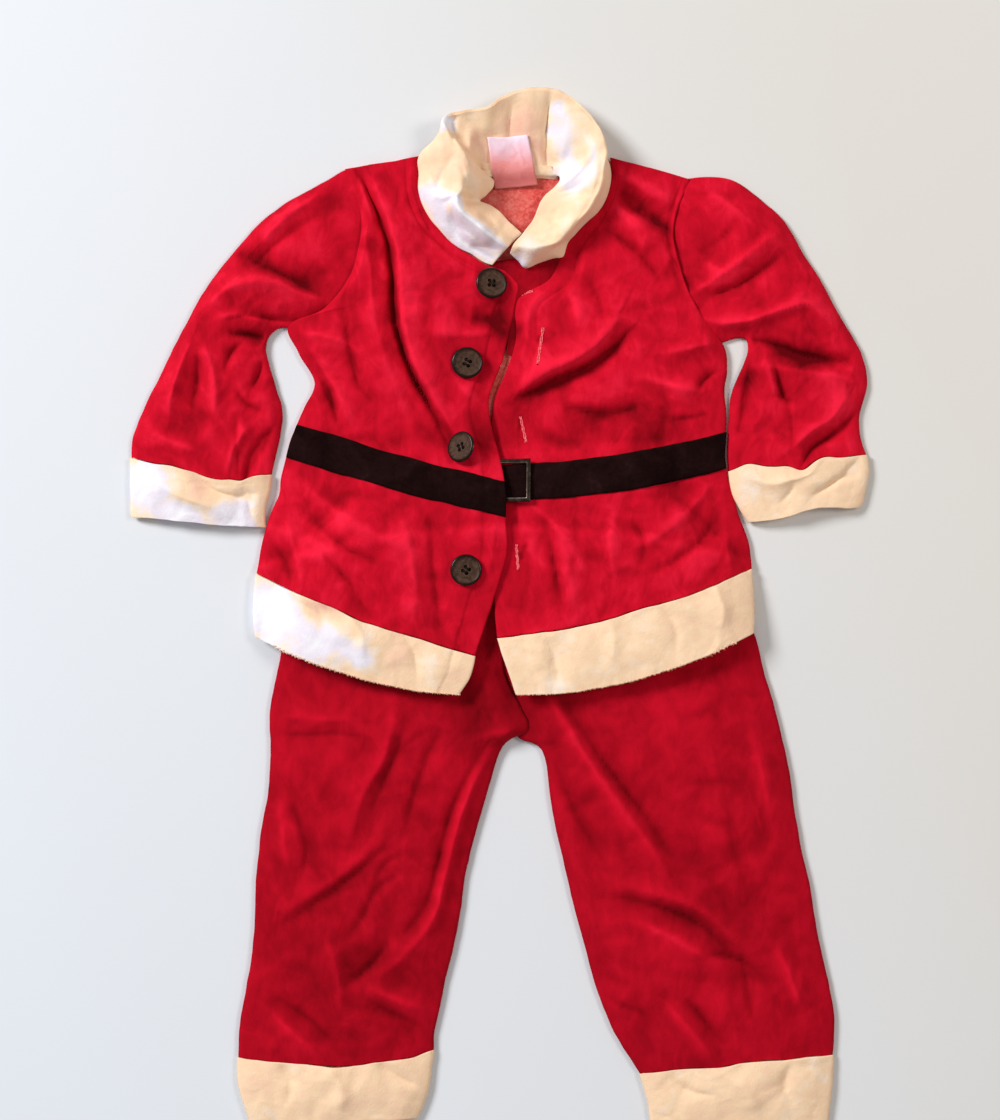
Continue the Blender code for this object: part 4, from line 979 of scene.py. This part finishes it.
def velvet_finish():
    """Black velvet ribbon."""
    made, tree, shader = shade("belt_velvet", 0.85, Specular_IOR_Level=0.03, Sheen_Weight=0.04, Sheen_Roughness=0.4,
                               Sheen_Tint=(1.0, 0.7, 0.6, 1.0))
    value = total(tree, scaled(tree, add_noise(tree, 22, 3.0, 1.0), 0.7), scaled(tree, add_noise(tree, 3, 3.0), 0.3))
    paint(tree, shader, value, (0.35, (0.007, 0.0015, 0.0015)), (0.60, (0.014, 0.004, 0.004)),
          (0.8, (0.03, 0.012, 0.011)))
    rough_up(tree, shader, (add_noise(tree, 0.9, 3.0), 0.3, 0.5))
    return made


def button_finish():
    """Dark brown moulded plastic: a duller face inside a glossy, almost black rim."""
    made, tree, shader = shade("button_plastic", 0.5, Specular_IOR_Level=0.2)
    rim = worn(tree, "rim")
    tree.links.new(join(tree, "SUBTRACT", 0.75, scaled(tree, rim, 0.5)), shader.inputs["Roughness"])
    value = join(tree, "SUBTRACT", add_noise(tree, 5, 4.0, 2.0), scaled(tree, rim, 0.45))
    paint(tree, shader, value, (0.10, (0.012, 0.005, 0.003)), (0.36, (0.040, 0.017, 0.010)),
          (0.55, (0.070, 0.033, 0.018)), (0.75, (0.10, 0.052, 0.028)))
    rough_up(tree, shader, (add_noise(tree, 1.2, 3.0, 0.5, (1, 6, 1)), 0.03, 0.3))
    return made


def metal_finish(name, low, middle, high):
    """Bronzed metal, mottled between a darker and a brighter colour."""
    made, tree, shader = shade(name, 0.35, Metallic=1.0)
    paint(tree, shader, add_noise(tree, 4, 4.0, 1.0), (0.35, low), (0.6, middle), (0.8, high))
    rough_up(tree, shader, (add_noise(tree, 0.6, 3.0), 0.03, 0.4))
    return made


def thread_finish(name, low, high):
    made, tree, shader = shade(name, 0.85, Specular_IOR_Level=0.08)
    paint(tree, shader, add_noise(tree, 1.4, 3.0, 1.0), (0.35, low), (0.65, high))
    rough_up(tree, shader, (add_noise(tree, 0.4, 2.0, 0.0, (1, 4, 1)), 0.1, 0.5))
    return made


def label_finish():
    """Blank satin tape, thin enough to take up the coral behind its lower end."""
    made, tree, shader = shade("label_tape", 0.55, Sheen_Weight=0.2, Specular_IOR_Level=0.35)
    low_end, length = 0.296, 0.037
    low = scaled(tree, join(tree, "SUBTRACT", along(tree, "Y"), low_end), 1 / length)
    value = total(tree, low, swung(tree, add_noise(tree, 9, 3.0, 1.0), 0.5))
    paint(tree, shader, value, (0.06, (0.66, 0.16, 0.15)), (0.36, (0.80, 0.28, 0.27)), (0.58, (0.88, 0.50, 0.56)),
          (0.85, (0.93, 0.74, 0.86)))
    rough_up(tree, shader, (add_noise(tree, 0.5, 2.0, 0.0, (1, 8, 1)), 0.08, 0.6))
    return made


jacket_velour = velour_finish("jacket_velour", 0.02)
trouser_velour = velour_finish("trouser_velour", -0.11, 0.6)
# A darker copy of the velour: painted shade for the facing deep in the neck opening.
shaded_facing_velour = velour_finish("shaded_facing_velour", -0.24)
terry = terry_finish()
# The lit copy of the fleece, with stronger white patches of painted cool light, for the pieces nearer the window.
cool_lit_fleece = fleece_finish("cool_lit_fleece", 0.10)
cream_fleece = fleece_finish("cream_fleece", -0.10)
collar_fleece = fleece_finish("collar_fleece", -0.05)
velvet = velvet_finish()
plastic = button_finish()
metal = metal_finish("buckle_metal", (0.030, 0.020, 0.015), (0.055, 0.040, 0.030), (0.13, 0.10, 0.075))
# A brighter copy of the metal: painted highlight lines along the buckle's bars.
highlight_metal = metal_finish("highlight_metal", (0.20, 0.16, 0.12), (0.42, 0.35, 0.26), (0.75, 0.68, 0.56))
brown_thread = thread_finish("button_thread", (0.006, 0.003, 0.003), (0.02, 0.011, 0.009))
pink_thread = thread_finish("buttonhole_thread", (0.80, 0.05, 0.08), (1.0, 0.22, 0.24))
red_thread = thread_finish("red_thread", (0.20, 0.002, 0.008), (0.50, 0.012, 0.03))
tape = label_finish()


def make_trousers():
    """Legs as front and back panels, fleece ankle cuffs and the hidden waistband."""
    for side, sections, folds, seed in (
            ("right", LEG_RIGHT, FOLDS_LEG_RIGHT, 21.0), ("left", LEG_LEFT, FOLDS_LEG_LEFT, 33.0)):
        folds = [fold._replace(height=LEG_FOLD_SHARE * fold.height) for fold in folds]
        x, y, z = panel(sections, LEG_COLUMNS, over_leg_back, VELOUR, folds, seed, 1.0, LEG_WRINKLES)
        # Flat under the jacket's hem, free below it.
        calm = smooth_step((-y - 25) / 60)
        z = np.where(calm < 1, np.minimum(z, 7.6 + 12 * calm), z)
        x_back, y_back = x[::3, ::8], y[::3, ::8]
        z_back = np.full_like(x_back, VELOUR + 0.05)
        for face, grids in (("front", (x, y, z)), ("back", (x_back, y_back, z_back))):
            node = f"leg_{face}_{side}"
            sew_panel(f"{node}_velour", grids, VELOUR, trouser_velour, "velour", [node], terry)
    for side, sections, seed in (("right", ANKLE_RIGHT, 41.0), ("left", ANKLE_LEFT, 47.0)):
        grids = tube(sections, TRIM_COLUMNS, FLEECE, FOLDS_TRIM, seed, depth=TUBE_WRINKLES, fine=TUBE_FINE)
        sew_tube(f"ankle_cuff_{side}_fleece", grids, FLEECE, cream_fleece, "fleece", [f"ankle_cuff_{side}"])
    band = table(TubeSection, [("seam", -90, 75.6, 107, 75.6, 0, 0.8), ("top", -87, 96, 104, 96, 0, 0.8)])
    grids = tube(band, 40, WAISTBAND_WALL, depth=0.0, fine=8)
    sew_tube("waistband_velour", grids, WAISTBAND_WALL, trouser_velour, "velour", ["waistband"])


def shoulder_lift(x):
    """Rise of the shoulder seams to the neck, and the dip of the back neck between them."""
    neck = 4.0 + 6.0 * ((x - 11) / 66) ** 4
    return np.where(x < -55, 10.0 * (x + 108) / 53, np.where(x > 77, 11.5 * (134 - x) / 57, neck))


def between(left, right, share):
    """Grids of x and y from one line of points across to another."""
    return [left[:, k:k + 1] + (right[:, k:k + 1] - left[:, k:k + 1]) * share for k in (0, 1)]


def make_jacket_back():
    """The back lies face down, so its reverse shows in the neck; its hem band hangs below it."""
    right, left = (carried([section[1:3] for section in front], 8) for front in (FRONT_RIGHT, FRONT_LEFT))
    share = np.linspace(0, 1, 91)[None, :]
    row = np.arange(len(right))[:, None]
    last = len(right) - 1
    x, y = between(right, left, share)
    y = y + shoulder_lift(x) * (1 - smooth_step(row / 28))
    y = y + BACK_HEM_RISE * 4 * share * (1 - share) * smooth_step((row - last + 36) / 36)
    z = bed(x, y) + VELOUR + 0.02
    sew_panel("jacket_back_velour", (x, y, z), VELOUR, terry, "velour", ["jacket_back"], jacket_velour)
    drop = np.linspace(0, 1, 12)[:, None]
    hem_x = x[-1:] * (1 + 0.01 * np.sin(np.pi * drop))
    hem_y = y[-1:] - 0.5 - 43 * drop
    hem_z = bed(hem_x, hem_y) + 2.9
    sew_panel("hem_back_fleece", (hem_x, hem_y, hem_z), FLEECE, cream_fleece, "fleece", ["hem_back"])


def make_belt(side, grids):
    """The ribbon lies on the panel: the panel's own points moved out."""
    rows = slice(BELT_TOP * FINE, BELT_BOTTOM * FINE + 1)
    x, y, z = (values[rows] for values in grids)
    z = np.maximum(z, blurred(z, 3)) + 1.3
    edge = np.linspace(-1, 1, x.shape[0])[:, None]
    z = z - 0.5 * np.abs(edge) ** 8 + 0.15 * rumple(x, y, 16, 5.0)
    y = y + 0.5 * rumple(x, y, 30, 8.0) * np.abs(edge)
    return sew_panel(f"belt_{side}_velvet", (x, y, z), RIBBON, velvet, "belt_velvet", [f"belt_{side}"])


def make_fronts():
    """Both front panels with their hem bands and ribbon; returns each side's panel and ribbon."""
    made = {}
    for side, sections, folds, hem, fleece, seed in (
            ("right", FRONT_RIGHT, FOLDS_FRONT_RIGHT, HEM_FRONT_RIGHT, cool_lit_fleece, 3.0),
            ("left", FRONT_LEFT, FOLDS_FRONT_LEFT, HEM_FRONT_LEFT, cream_fleece, 9.0)):
        grids = panel(sections, FRONT_COLUMNS, over_jacket_back, VELOUR, folds, seed)
        front = sew_panel(f"jacket_front_{side}_velour", grids, VELOUR, jacket_velour, "velour",
                          [f"jacket_front_{side}"], terry)
        band = panel(hem, FRONT_COLUMNS, over_hem_back, FLEECE, FOLDS_TRIM, seed + 1, depth=HEM_WRINKLES, fine=HEM_FINE)
        sew_panel(f"hem_front_{side}_fleece", band, FLEECE, fleece, "fleece", [f"hem_front_{side}"])
        made[side] = (front, make_belt(side, grids))
    return made


def make_sleeves():
    for side, sections, front, folds, cuff, fleece, seed in (
            ("right", SLEEVE_RIGHT, FRONT_RIGHT, FOLDS_SLEEVE_RIGHT, CUFF_RIGHT, cool_lit_fleece, 51.0),
            ("left", SLEEVE_LEFT, FRONT_LEFT, FOLDS_SLEEVE_LEFT, CUFF_LEFT, cream_fleece, 63.0)):
        grids = tube(sections, SLEEVE_COLUMNS, VELOUR, folds, seed, armhole(front))
        sew_tube(f"sleeve_{side}_velour", grids, VELOUR, jacket_velour, "velour", [f"sleeve_{side}"])
        grids = tube(cuff, TRIM_COLUMNS, FLEECE, FOLDS_TRIM, seed + 2, depth=TUBE_WRINKLES, fine=TUBE_FINE)
        sew_tube(f"cuff_{side}_fleece", grids, FLEECE, fleece, "fleece", [f"cuff_{side}"])


def make_collar():
    """Doubled fleece: up from the neck seam to the crest, and down inside to the neck."""
    rows = []
    for station in COLLAR:
        seam, crest, hole = (np.array(point, float) for point in station)
        seam = seam + np.array((1.4 * np.sign(seam[0] - 10), 0, 0))
        up = (seam + crest) / 2 + np.array((0, 0, -0.6))
        down = (hole + crest) / 2 + np.array((0, 0, -0.8))
        rows.append(carried([seam, up, crest, down, hole], 10))
    grid = carried(rows, 6)
    x, y, z = grid[..., 0], grid[..., 1], grid[..., 2]
    z = z + fold_lift(x, y, COLLAR_CREASES) + 1.7 * rumple(x, y, 13, 77.0) + 0.7 * rumple(x, y, 6, 78.0)
    z = np.maximum(z, 0.4)
    piece = sew("collar_fleece", (x, y, z), COLLAR_WALL, collar_fleece, "fleece", ["collar"], outward=True)


def tree_of(piece):
    points = [vertex.co for vertex in piece.data.vertices]
    return BVHTree.FromPolygons(points, [polygon.vertices for polygon in piece.data.polygons])


def height_on(tree, x, y):
    """Height of a piece's top at a place, in millimetres."""
    hit = tree.ray_cast(Vector((x * MM, y * MM, 0.2)), Vector((0, 0, -1)))
    return 0.0 if hit[0] is None else hit[0].z / MM


def lying(trees, x, y, half_x, half_y, lift=0.0):
    """A placing that tilts and raises a small hard piece to lie on the cloth below it."""
    places = []
    for k in range(12):
        for share in (0.5, 1.0):
            px = half_x * share * math.cos(k * math.tau / 12)
            py = half_y * share * math.sin(k * math.tau / 12)
            places.append((px, py, max(height_on(tree, x + px, y + py) for tree in trees)))
    middle = sum(place[2] for place in places) / len(places)
    slope_x, slope_y = (
        sum(p[k] * (p[2] - middle) for p in places) / sum(p[k] ** 2 for p in places) for k in (0, 1))
    base = max(p[2] - slope_x * p[0] - slope_y * p[1] for p in places) + lift
    up = Vector((-slope_x, -slope_y, 1)).normalized()
    turn = Vector((0, 0, 1)).rotation_difference(up).to_matrix().to_4x4()
    return Matrix.Translation((x * MM, y * MM, base * MM)) @ turn


def settle(piece, placing):
    piece.data.transform(placing)
    piece.data.update()


def start(add, **sizes):
    """A new plain part, the only one selected."""
    bpy.ops.object.select_all(action="DESELECT")
    add(**sizes)
    return bpy.context.object


def joined(parts):
    pick(*parts)
    bpy.ops.object.join()
    return bpy.context.object


def edit_all():
    bpy.ops.object.mode_set(mode="EDIT")
    bpy.ops.mesh.select_all(action="SELECT")


def raise_edge(height):
    bpy.ops.mesh.extrude_region_move(TRANSFORM_OT_translate={"value": (0, 0, height * MM)})


def widen(x, y):
    bpy.ops.transform.resize(value=(x, y, 1), center_override=(0, 0, 0))


def face_outward():
    bpy.ops.mesh.select_all(action="SELECT")
    bpy.ops.mesh.normals_make_consistent(inside=False)


def model_button():
    """A button turned from a disc: rounded rim, dished middle and four holes."""
    reach = 0.74
    button = start(bpy.ops.mesh.primitive_circle_add, vertices=56, radius=BUTTON_RADIUS * MM * reach, fill_type="NGON")
    button.name = "button_pattern"
    edit_all()
    for share, lift in ((0.92, 0.5), (0.99, 0.55), (1.0, 0.55), (0.97, 0.6), (0.92, 0.4), (0.86, 0.1),
                        (0.80, -0.35), (0.75, -0.45), (0.68, -0.15), (0.40, -0.05)):
        raise_edge(lift)
        widen(share / reach, share / reach)
        reach = share
    face_outward()
    bpy.ops.object.mode_set(mode="OBJECT")
    drills = []
    for k in range(4):
        angle = math.pi / 4 + k * math.pi / 2
        place = (HOLE_REACH * MM * math.cos(angle), HOLE_REACH * MM * math.sin(angle), 0)
        drills.append(start(bpy.ops.mesh.primitive_cylinder_add, vertices=14, radius=HOLE_RADIUS * MM,
                            depth=12 * MM, location=place))
    drill = joined(drills)
    pick(button)
    cut = button.modifiers.new("holes", "BOOLEAN")
    cut.operation = "DIFFERENCE"
    cut.solver = "EXACT"
    cut.object = drill
    bpy.ops.object.modifier_apply(modifier=cut.name)
    bpy.data.objects.remove(drill, do_unlink=True)
    bpy.ops.object.shade_smooth_by_angle(angle=math.radians(35))
    button.data.materials.clear()
    button.data.materials.append(plastic)
    reach = np.array([vertex.co.xy.length / (BUTTON_RADIUS * MM) for vertex in button.data.vertices])
    float_attribute(button.data, "rim", smooth_step((reach - 0.80) / 0.08).astype(np.float32))
    return button


def model_button_thread():
    """Two short bars of thread across the holes, and the wad of thread behind them."""
    bars = [start(bpy.ops.mesh.primitive_cylinder_add, vertices=10, radius=0.55 * MM, depth=4.4 * MM,
                  location=(0, side * 1.45 * MM, 2.2 * MM), rotation=(0, math.pi / 2, 0.12 * side))
            for side in (-1, 1)]
    bars.append(start(bpy.ops.mesh.primitive_cylinder_add, vertices=20, radius=3.9 * MM, depth=1.0 * MM,
                      location=(0, 0, 0.3 * MM)))
    thread = joined(bars)
    bpy.ops.object.transform_apply(location=True, rotation=True, scale=True)
    edit_all()
    bpy.ops.mesh.subdivide(number_cuts=3)
    bpy.ops.object.mode_set(mode="OBJECT")
    for vertex in thread.data.vertices:
        if vertex.co.z > 1.2 * MM:
            vertex.co.z -= 1.1 * MM * (abs(vertex.co.x) / (2.2 * MM)) ** 3
    bpy.ops.object.shade_smooth()
    thread.name = "button_thread_pattern"
    thread.data.materials.append(brown_thread)
    return thread


def make_buttons(front):
    """Four copies of the button and its thread, each lying and leaning on the cloth."""
    patterns = ((model_button(), "moulded"), (model_button_thread(), "thread"))
    tree = tree_of(front)
    for name, x, y, lean in BUTTONS:
        tilt = math.radians(lean)
        placing = lying([tree], x, y, 10, 10, 0.1) @ Matrix.Translation((0, 0, 10 * MM * abs(math.sin(tilt))))
        placing = placing @ Matrix.Rotation(tilt, 4, "Y")
        for pattern, suffix in patterns:
            piece = linked(f"{name}_{suffix}", pattern.data.copy())
            settle(piece, placing @ Matrix.Rotation(0.3 * x, 4, "Z"))
            nodes = [name] if suffix == "moulded" else []
            own(piece, "button", *nodes)
    for pattern, _ in patterns:
        bpy.data.objects.remove(pattern, do_unlink=True)


def make_buckle(front, belt):
    """A flat frame: a plate with its middle taken out, thickened and its edges rounded."""
    low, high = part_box("buckle")
    middle = (low + high) / 2
    buckle = start(bpy.ops.mesh.primitive_plane_add, size=1)
    buckle.name = "buckle_frame"
    edit_all()
    widen(BUCKLE_WIDTH * MM, BUCKLE_HEIGHT * MM)
    bpy.ops.mesh.inset(thickness=BUCKLE_BAR * MM, use_even_offset=True)
    bpy.ops.mesh.delete(type="FACE")
    bpy.ops.mesh.select_all(action="SELECT")
    raise_edge(BUCKLE_WALL)
    face_outward()
    bpy.ops.mesh.bevel(offset=0.55 * MM, segments=3, affect="EDGES")
    bpy.ops.object.mode_set(mode="OBJECT")
    bpy.ops.object.shade_smooth_by_angle(angle=math.radians(30))
    buckle.data.materials.append(metal)
    buckle.data.materials.append(highlight_metal)
    # The upward inner edges of the top and bottom bars take the brighter copy, as painted highlight lines.
    for polygon in buckle.data.polygons:
        inside = abs(polygon.center.y) - (BUCKLE_HEIGHT / 2 - BUCKLE_BAR) * MM
        polygon.material_index = int(-0.1 * MM < inside < 0.75 * MM and polygon.normal.z > 0.2)
    settle(buckle, lying([tree_of(front), tree_of(belt)], middle.x / MM, middle.y / MM,
                         BUCKLE_WIDTH / 2, BUCKLE_HEIGHT / 2, 0.1))
    own(buckle, "buckle_metal", "buckle")


def strand(shape, points, radius, sides=5):
    """A thin closed thread along some points, in millimetres."""
    rings = []
    for i, point in enumerate(points):
        run = (points[min(i + 1, len(points) - 1)] - points[max(i - 1, 0)]).normalized()
        side = run.cross(Vector((0.13, 0.21, 1))).normalized()
        up = side.cross(run)
        thick = radius * (0.6 if i in (0, len(points) - 1) else 1.0)
        rings.append([shape.verts.new((point + (side * math.cos(k * math.tau / sides)
                                                + up * math.sin(k * math.tau / sides)) * thick) * MM)
                      for k in range(sides)])
    for low, high in zip(rings, rings[1:]):
        for k in range(sides):
            shape.faces.new((low[k], low[(k + 1) % sides], high[(k + 1) % sides], high[k]))
    shape.faces.new(rings[0][::-1])
    shape.faces.new(rings[-1])


def make_buttonholes(front):
    """Long threads down each slit, and close, worn stitches over both its lips."""
    chance = random.Random(4)
    tree = tree_of(front)
    for mark in BUTTONHOLES:
        shape = bmesh.new()
        begin, end = Vector((mark.x, mark.y)), Vector((mark.to_x, mark.to_y))
        run = (end - begin).normalized()
        side = Vector((-run.y, run.x))
        for lip, thick in ((-0.5, 0.38), (0.6, 0.34), (0.05, 0.24)):
            points = []
            for k in range(19):
                x, y = begin.lerp(end, k / 18) + side * (lip + 0.25 * math.sin(k * 1.3 + mark.x * lip))
                points.append(Vector((x, y, height_on(tree, x, y) + 0.2)))
            strand(shape, points, thick)
        count = int((end - begin).length / 0.9)
        for k in range(count + 1):
            wear = 0.5 + 0.5 * math.sin(k * 0.9 + mark.x) * math.cos(k * 0.37 + mark.y)
            for lip in (-1, 1):
                middle = begin.lerp(end, k / count)
                reach = 0.4 + (0.9 if wear > 0.6 else 0.3) * chance.random()
                points = []
                for share in (0.05, 0.5, 1.0):
                    x, y = middle + side * lip * reach * share + run * 1.1 * share * (chance.random() - 0.2)
                    points.append(Vector((x, y, height_on(tree, x, y) + 0.4 - 0.45 * share)))
                # Stitches over the first part of each slit take the dark red thread as painted shade in the slot;
                # elsewhere dark red falls where wear is low.
                first = len(shape.faces)
                strand(shape, points, 0.18 + 0.08 * chance.random())
                shape.faces.ensure_lookup_table()
                for face in shape.faces[first:]:
                    face.material_index = int(wear < 0.6 or k < count * 0.4)
        bmesh.ops.recalc_face_normals(shape, faces=shape.faces)
        mesh = bpy.data.meshes.new(mark.name)
        shape.to_mesh(mesh)
        shape.free()
        mesh.polygons.foreach_set("use_smooth", [True] * len(mesh.polygons))
        mesh.materials.append(pink_thread)
        mesh.materials.append(red_thread)
        own(linked(f"{mark.name}_stitches", mesh), "velour")


def make_facing():
    """The front's turned-back facing, deep in the neck opening behind the top button; its darker velour is painted
    shade.
    """
    left, right = (carried(line, 6) for line in FACING)
    across = np.linspace(0, 1, 31)[None, :]
    x, y = between(left, right, across)
    z = 3.6 + 1.2 * crown(np.broadcast_to(across, x.shape)) + 0.5 * rumple(x, y, 12, 14.0)
    sew_panel("front_facing_velour", (x, y, z), FACING_WALL, shaded_facing_velour, "velour")


def lay_tape(name, corners, finish, slot, thickness, lift, ripple, rests_on, *nodes):
    """A short tape lying over the cloth below it; its corners go round from the top right."""
    trees = [tree_of(bpy.data.objects[below]) for below in rests_on]
    top_right, top_left, low_left, low_right = (np.array(corner, float) for corner in corners)
    down = np.linspace(0, 1, 31)[:, None, None]
    across = np.linspace(0, 1, 25)[None, :, None]
    place = (top_right * (1 - across) + top_left * across) * (1 - down)
    place = place + (low_right * (1 - across) + low_left * across) * down
    x, y = place[..., 0], place[..., 1]
    z = np.array([max(height_on(tree, a, b) for tree in trees) for a, b in zip(x.ravel(), y.ravel())]).reshape(x.shape)
    z = np.maximum(z, blurred(z, 6))
    z = blurred(np.maximum(z, blurred(z, 4)), 2) + lift
    share = across[..., 0]
    z = z + ripple * ((2 * share - 1) ** 2 * (0.3 + down[..., 0]) + 0.3 * rumple(x, y, 12, 91.0))
    sew_panel(name, (x, y, z), thickness, finish, slot, nodes)


def make_fringes():
    """Loose fleece fibres along the cut lower edges of the front hem bands."""
    chance = random.Random(11)
    for side, finish in (("right", cool_lit_fleece), ("left", cream_fleece)):
        columns = {}
        for vertex in bpy.data.objects[f"hem_front_{side}_fleece"].data.vertices:
            point = vertex.co.copy() / MM
            key = round(point.x / 3.0)
            if key not in columns or point.y < columns[key].y:
                columns[key] = point
        shape = bmesh.new()
        for _, point in sorted(columns.items())[5:-5]:
            for _ in range(15):
                tip = Vector((chance.uniform(-0.6, 0.6), -chance.uniform(0.9, 1.7), chance.uniform(-0.2, 0.3)))
                root = point + Vector((chance.uniform(-1.6, 1.6), 0.9, chance.uniform(0.9, 2.1)))
                wide = Vector((0.16, 0.05, 0.08))
                corners = [root - wide, root + tip, root + wide]
                shape.faces.new([shape.verts.new(corner * MM) for corner in corners])
        mesh = bpy.data.meshes.new(f"hem_front_{side}_fibres")
        shape.to_mesh(mesh)
        shape.free()
        float_attribute(mesh, "tone", [0.5] * len(mesh.vertices))
        mesh.materials.append(finish)
        own(linked(mesh.name, mesh), "fleece")


def make_floor():
    """A pale smooth table with painted light: cooler and lighter towards the wearer's right and the hems, warmer and
    darker towards the wearer's left and the collar.
    """
    floor = start(bpy.ops.mesh.primitive_plane_add, size=6, location=(0, 0, -0.0002))
    floor.name = "floor"
    made, tree, shader = shade("pale_floor", 0.6, Specular_IOR_Level=0.25)
    value = total(tree, scaled(tree, along(tree, "X"), 0.9), 0.5, scaled(tree, along(tree, "Y"), 0.4),
                  swung(tree, add_noise(tree, 300, 2.0), 0.2))
    paint(tree, shader, value, (0.1, (0.80, 0.83, 0.87)), (0.5, (0.78, 0.785, 0.80)), (0.85, (0.74, 0.71, 0.66)))
    floor.data.materials.append(made)


def light_and_camera():
    """Soft light from a window high on the wearer's right, a faint lamp, and a camera straight above."""
    for name, place, size, power, colour in LIGHTS:
        data = bpy.data.lights.new(name, "AREA")
        data.shape = "DISK"
        data.size = size
        data.energy = power
        data.color = colour
        light = linked(name, data)
        light.location = place
        light.rotation_euler = (-Vector(place)).to_track_quat("-Z", "Y").to_euler()
    world = bpy.data.worlds.new("room")
    world.use_nodes = True
    background = world.node_tree.nodes["Background"]
    background.inputs["Color"].default_value = (0.97, 0.97, 1.0, 1.0)
    background.inputs["Strength"].default_value = 0.32
    scene = bpy.context.scene
    scene.world = world
    away, seen = 1.5, 0.79
    data = bpy.data.cameras.new("camera")
    data.sensor_width = 36.0
    data.lens = 36.0 * away / seen
    camera = linked("camera", data)
    camera.location = (0.0007, 0.031, away)
    scene.camera = camera
    scene.view_settings.view_transform = "Standard"


make_trousers()
make_jacket_back()
fronts = make_fronts()
make_sleeves()
make_collar()
make_buttons(fronts["right"][0])
make_buckle(*fronts["left"])
make_buttonholes(fronts["left"][0])
make_facing()
below_tape = ["collar_fleece", "jacket_back_velour"]
lay_tape("neck_tape", NECK_TAPE, cream_fleece, "fleece", 0.6, 0.6, -1.1, below_tape)
lay_tape("label_tape", LABEL, tape, "label_tape", 0.35, 1.2, 1.2, below_tape + ["neck_tape"], "label")
make_fringes()
make_floor()
light_and_camera()
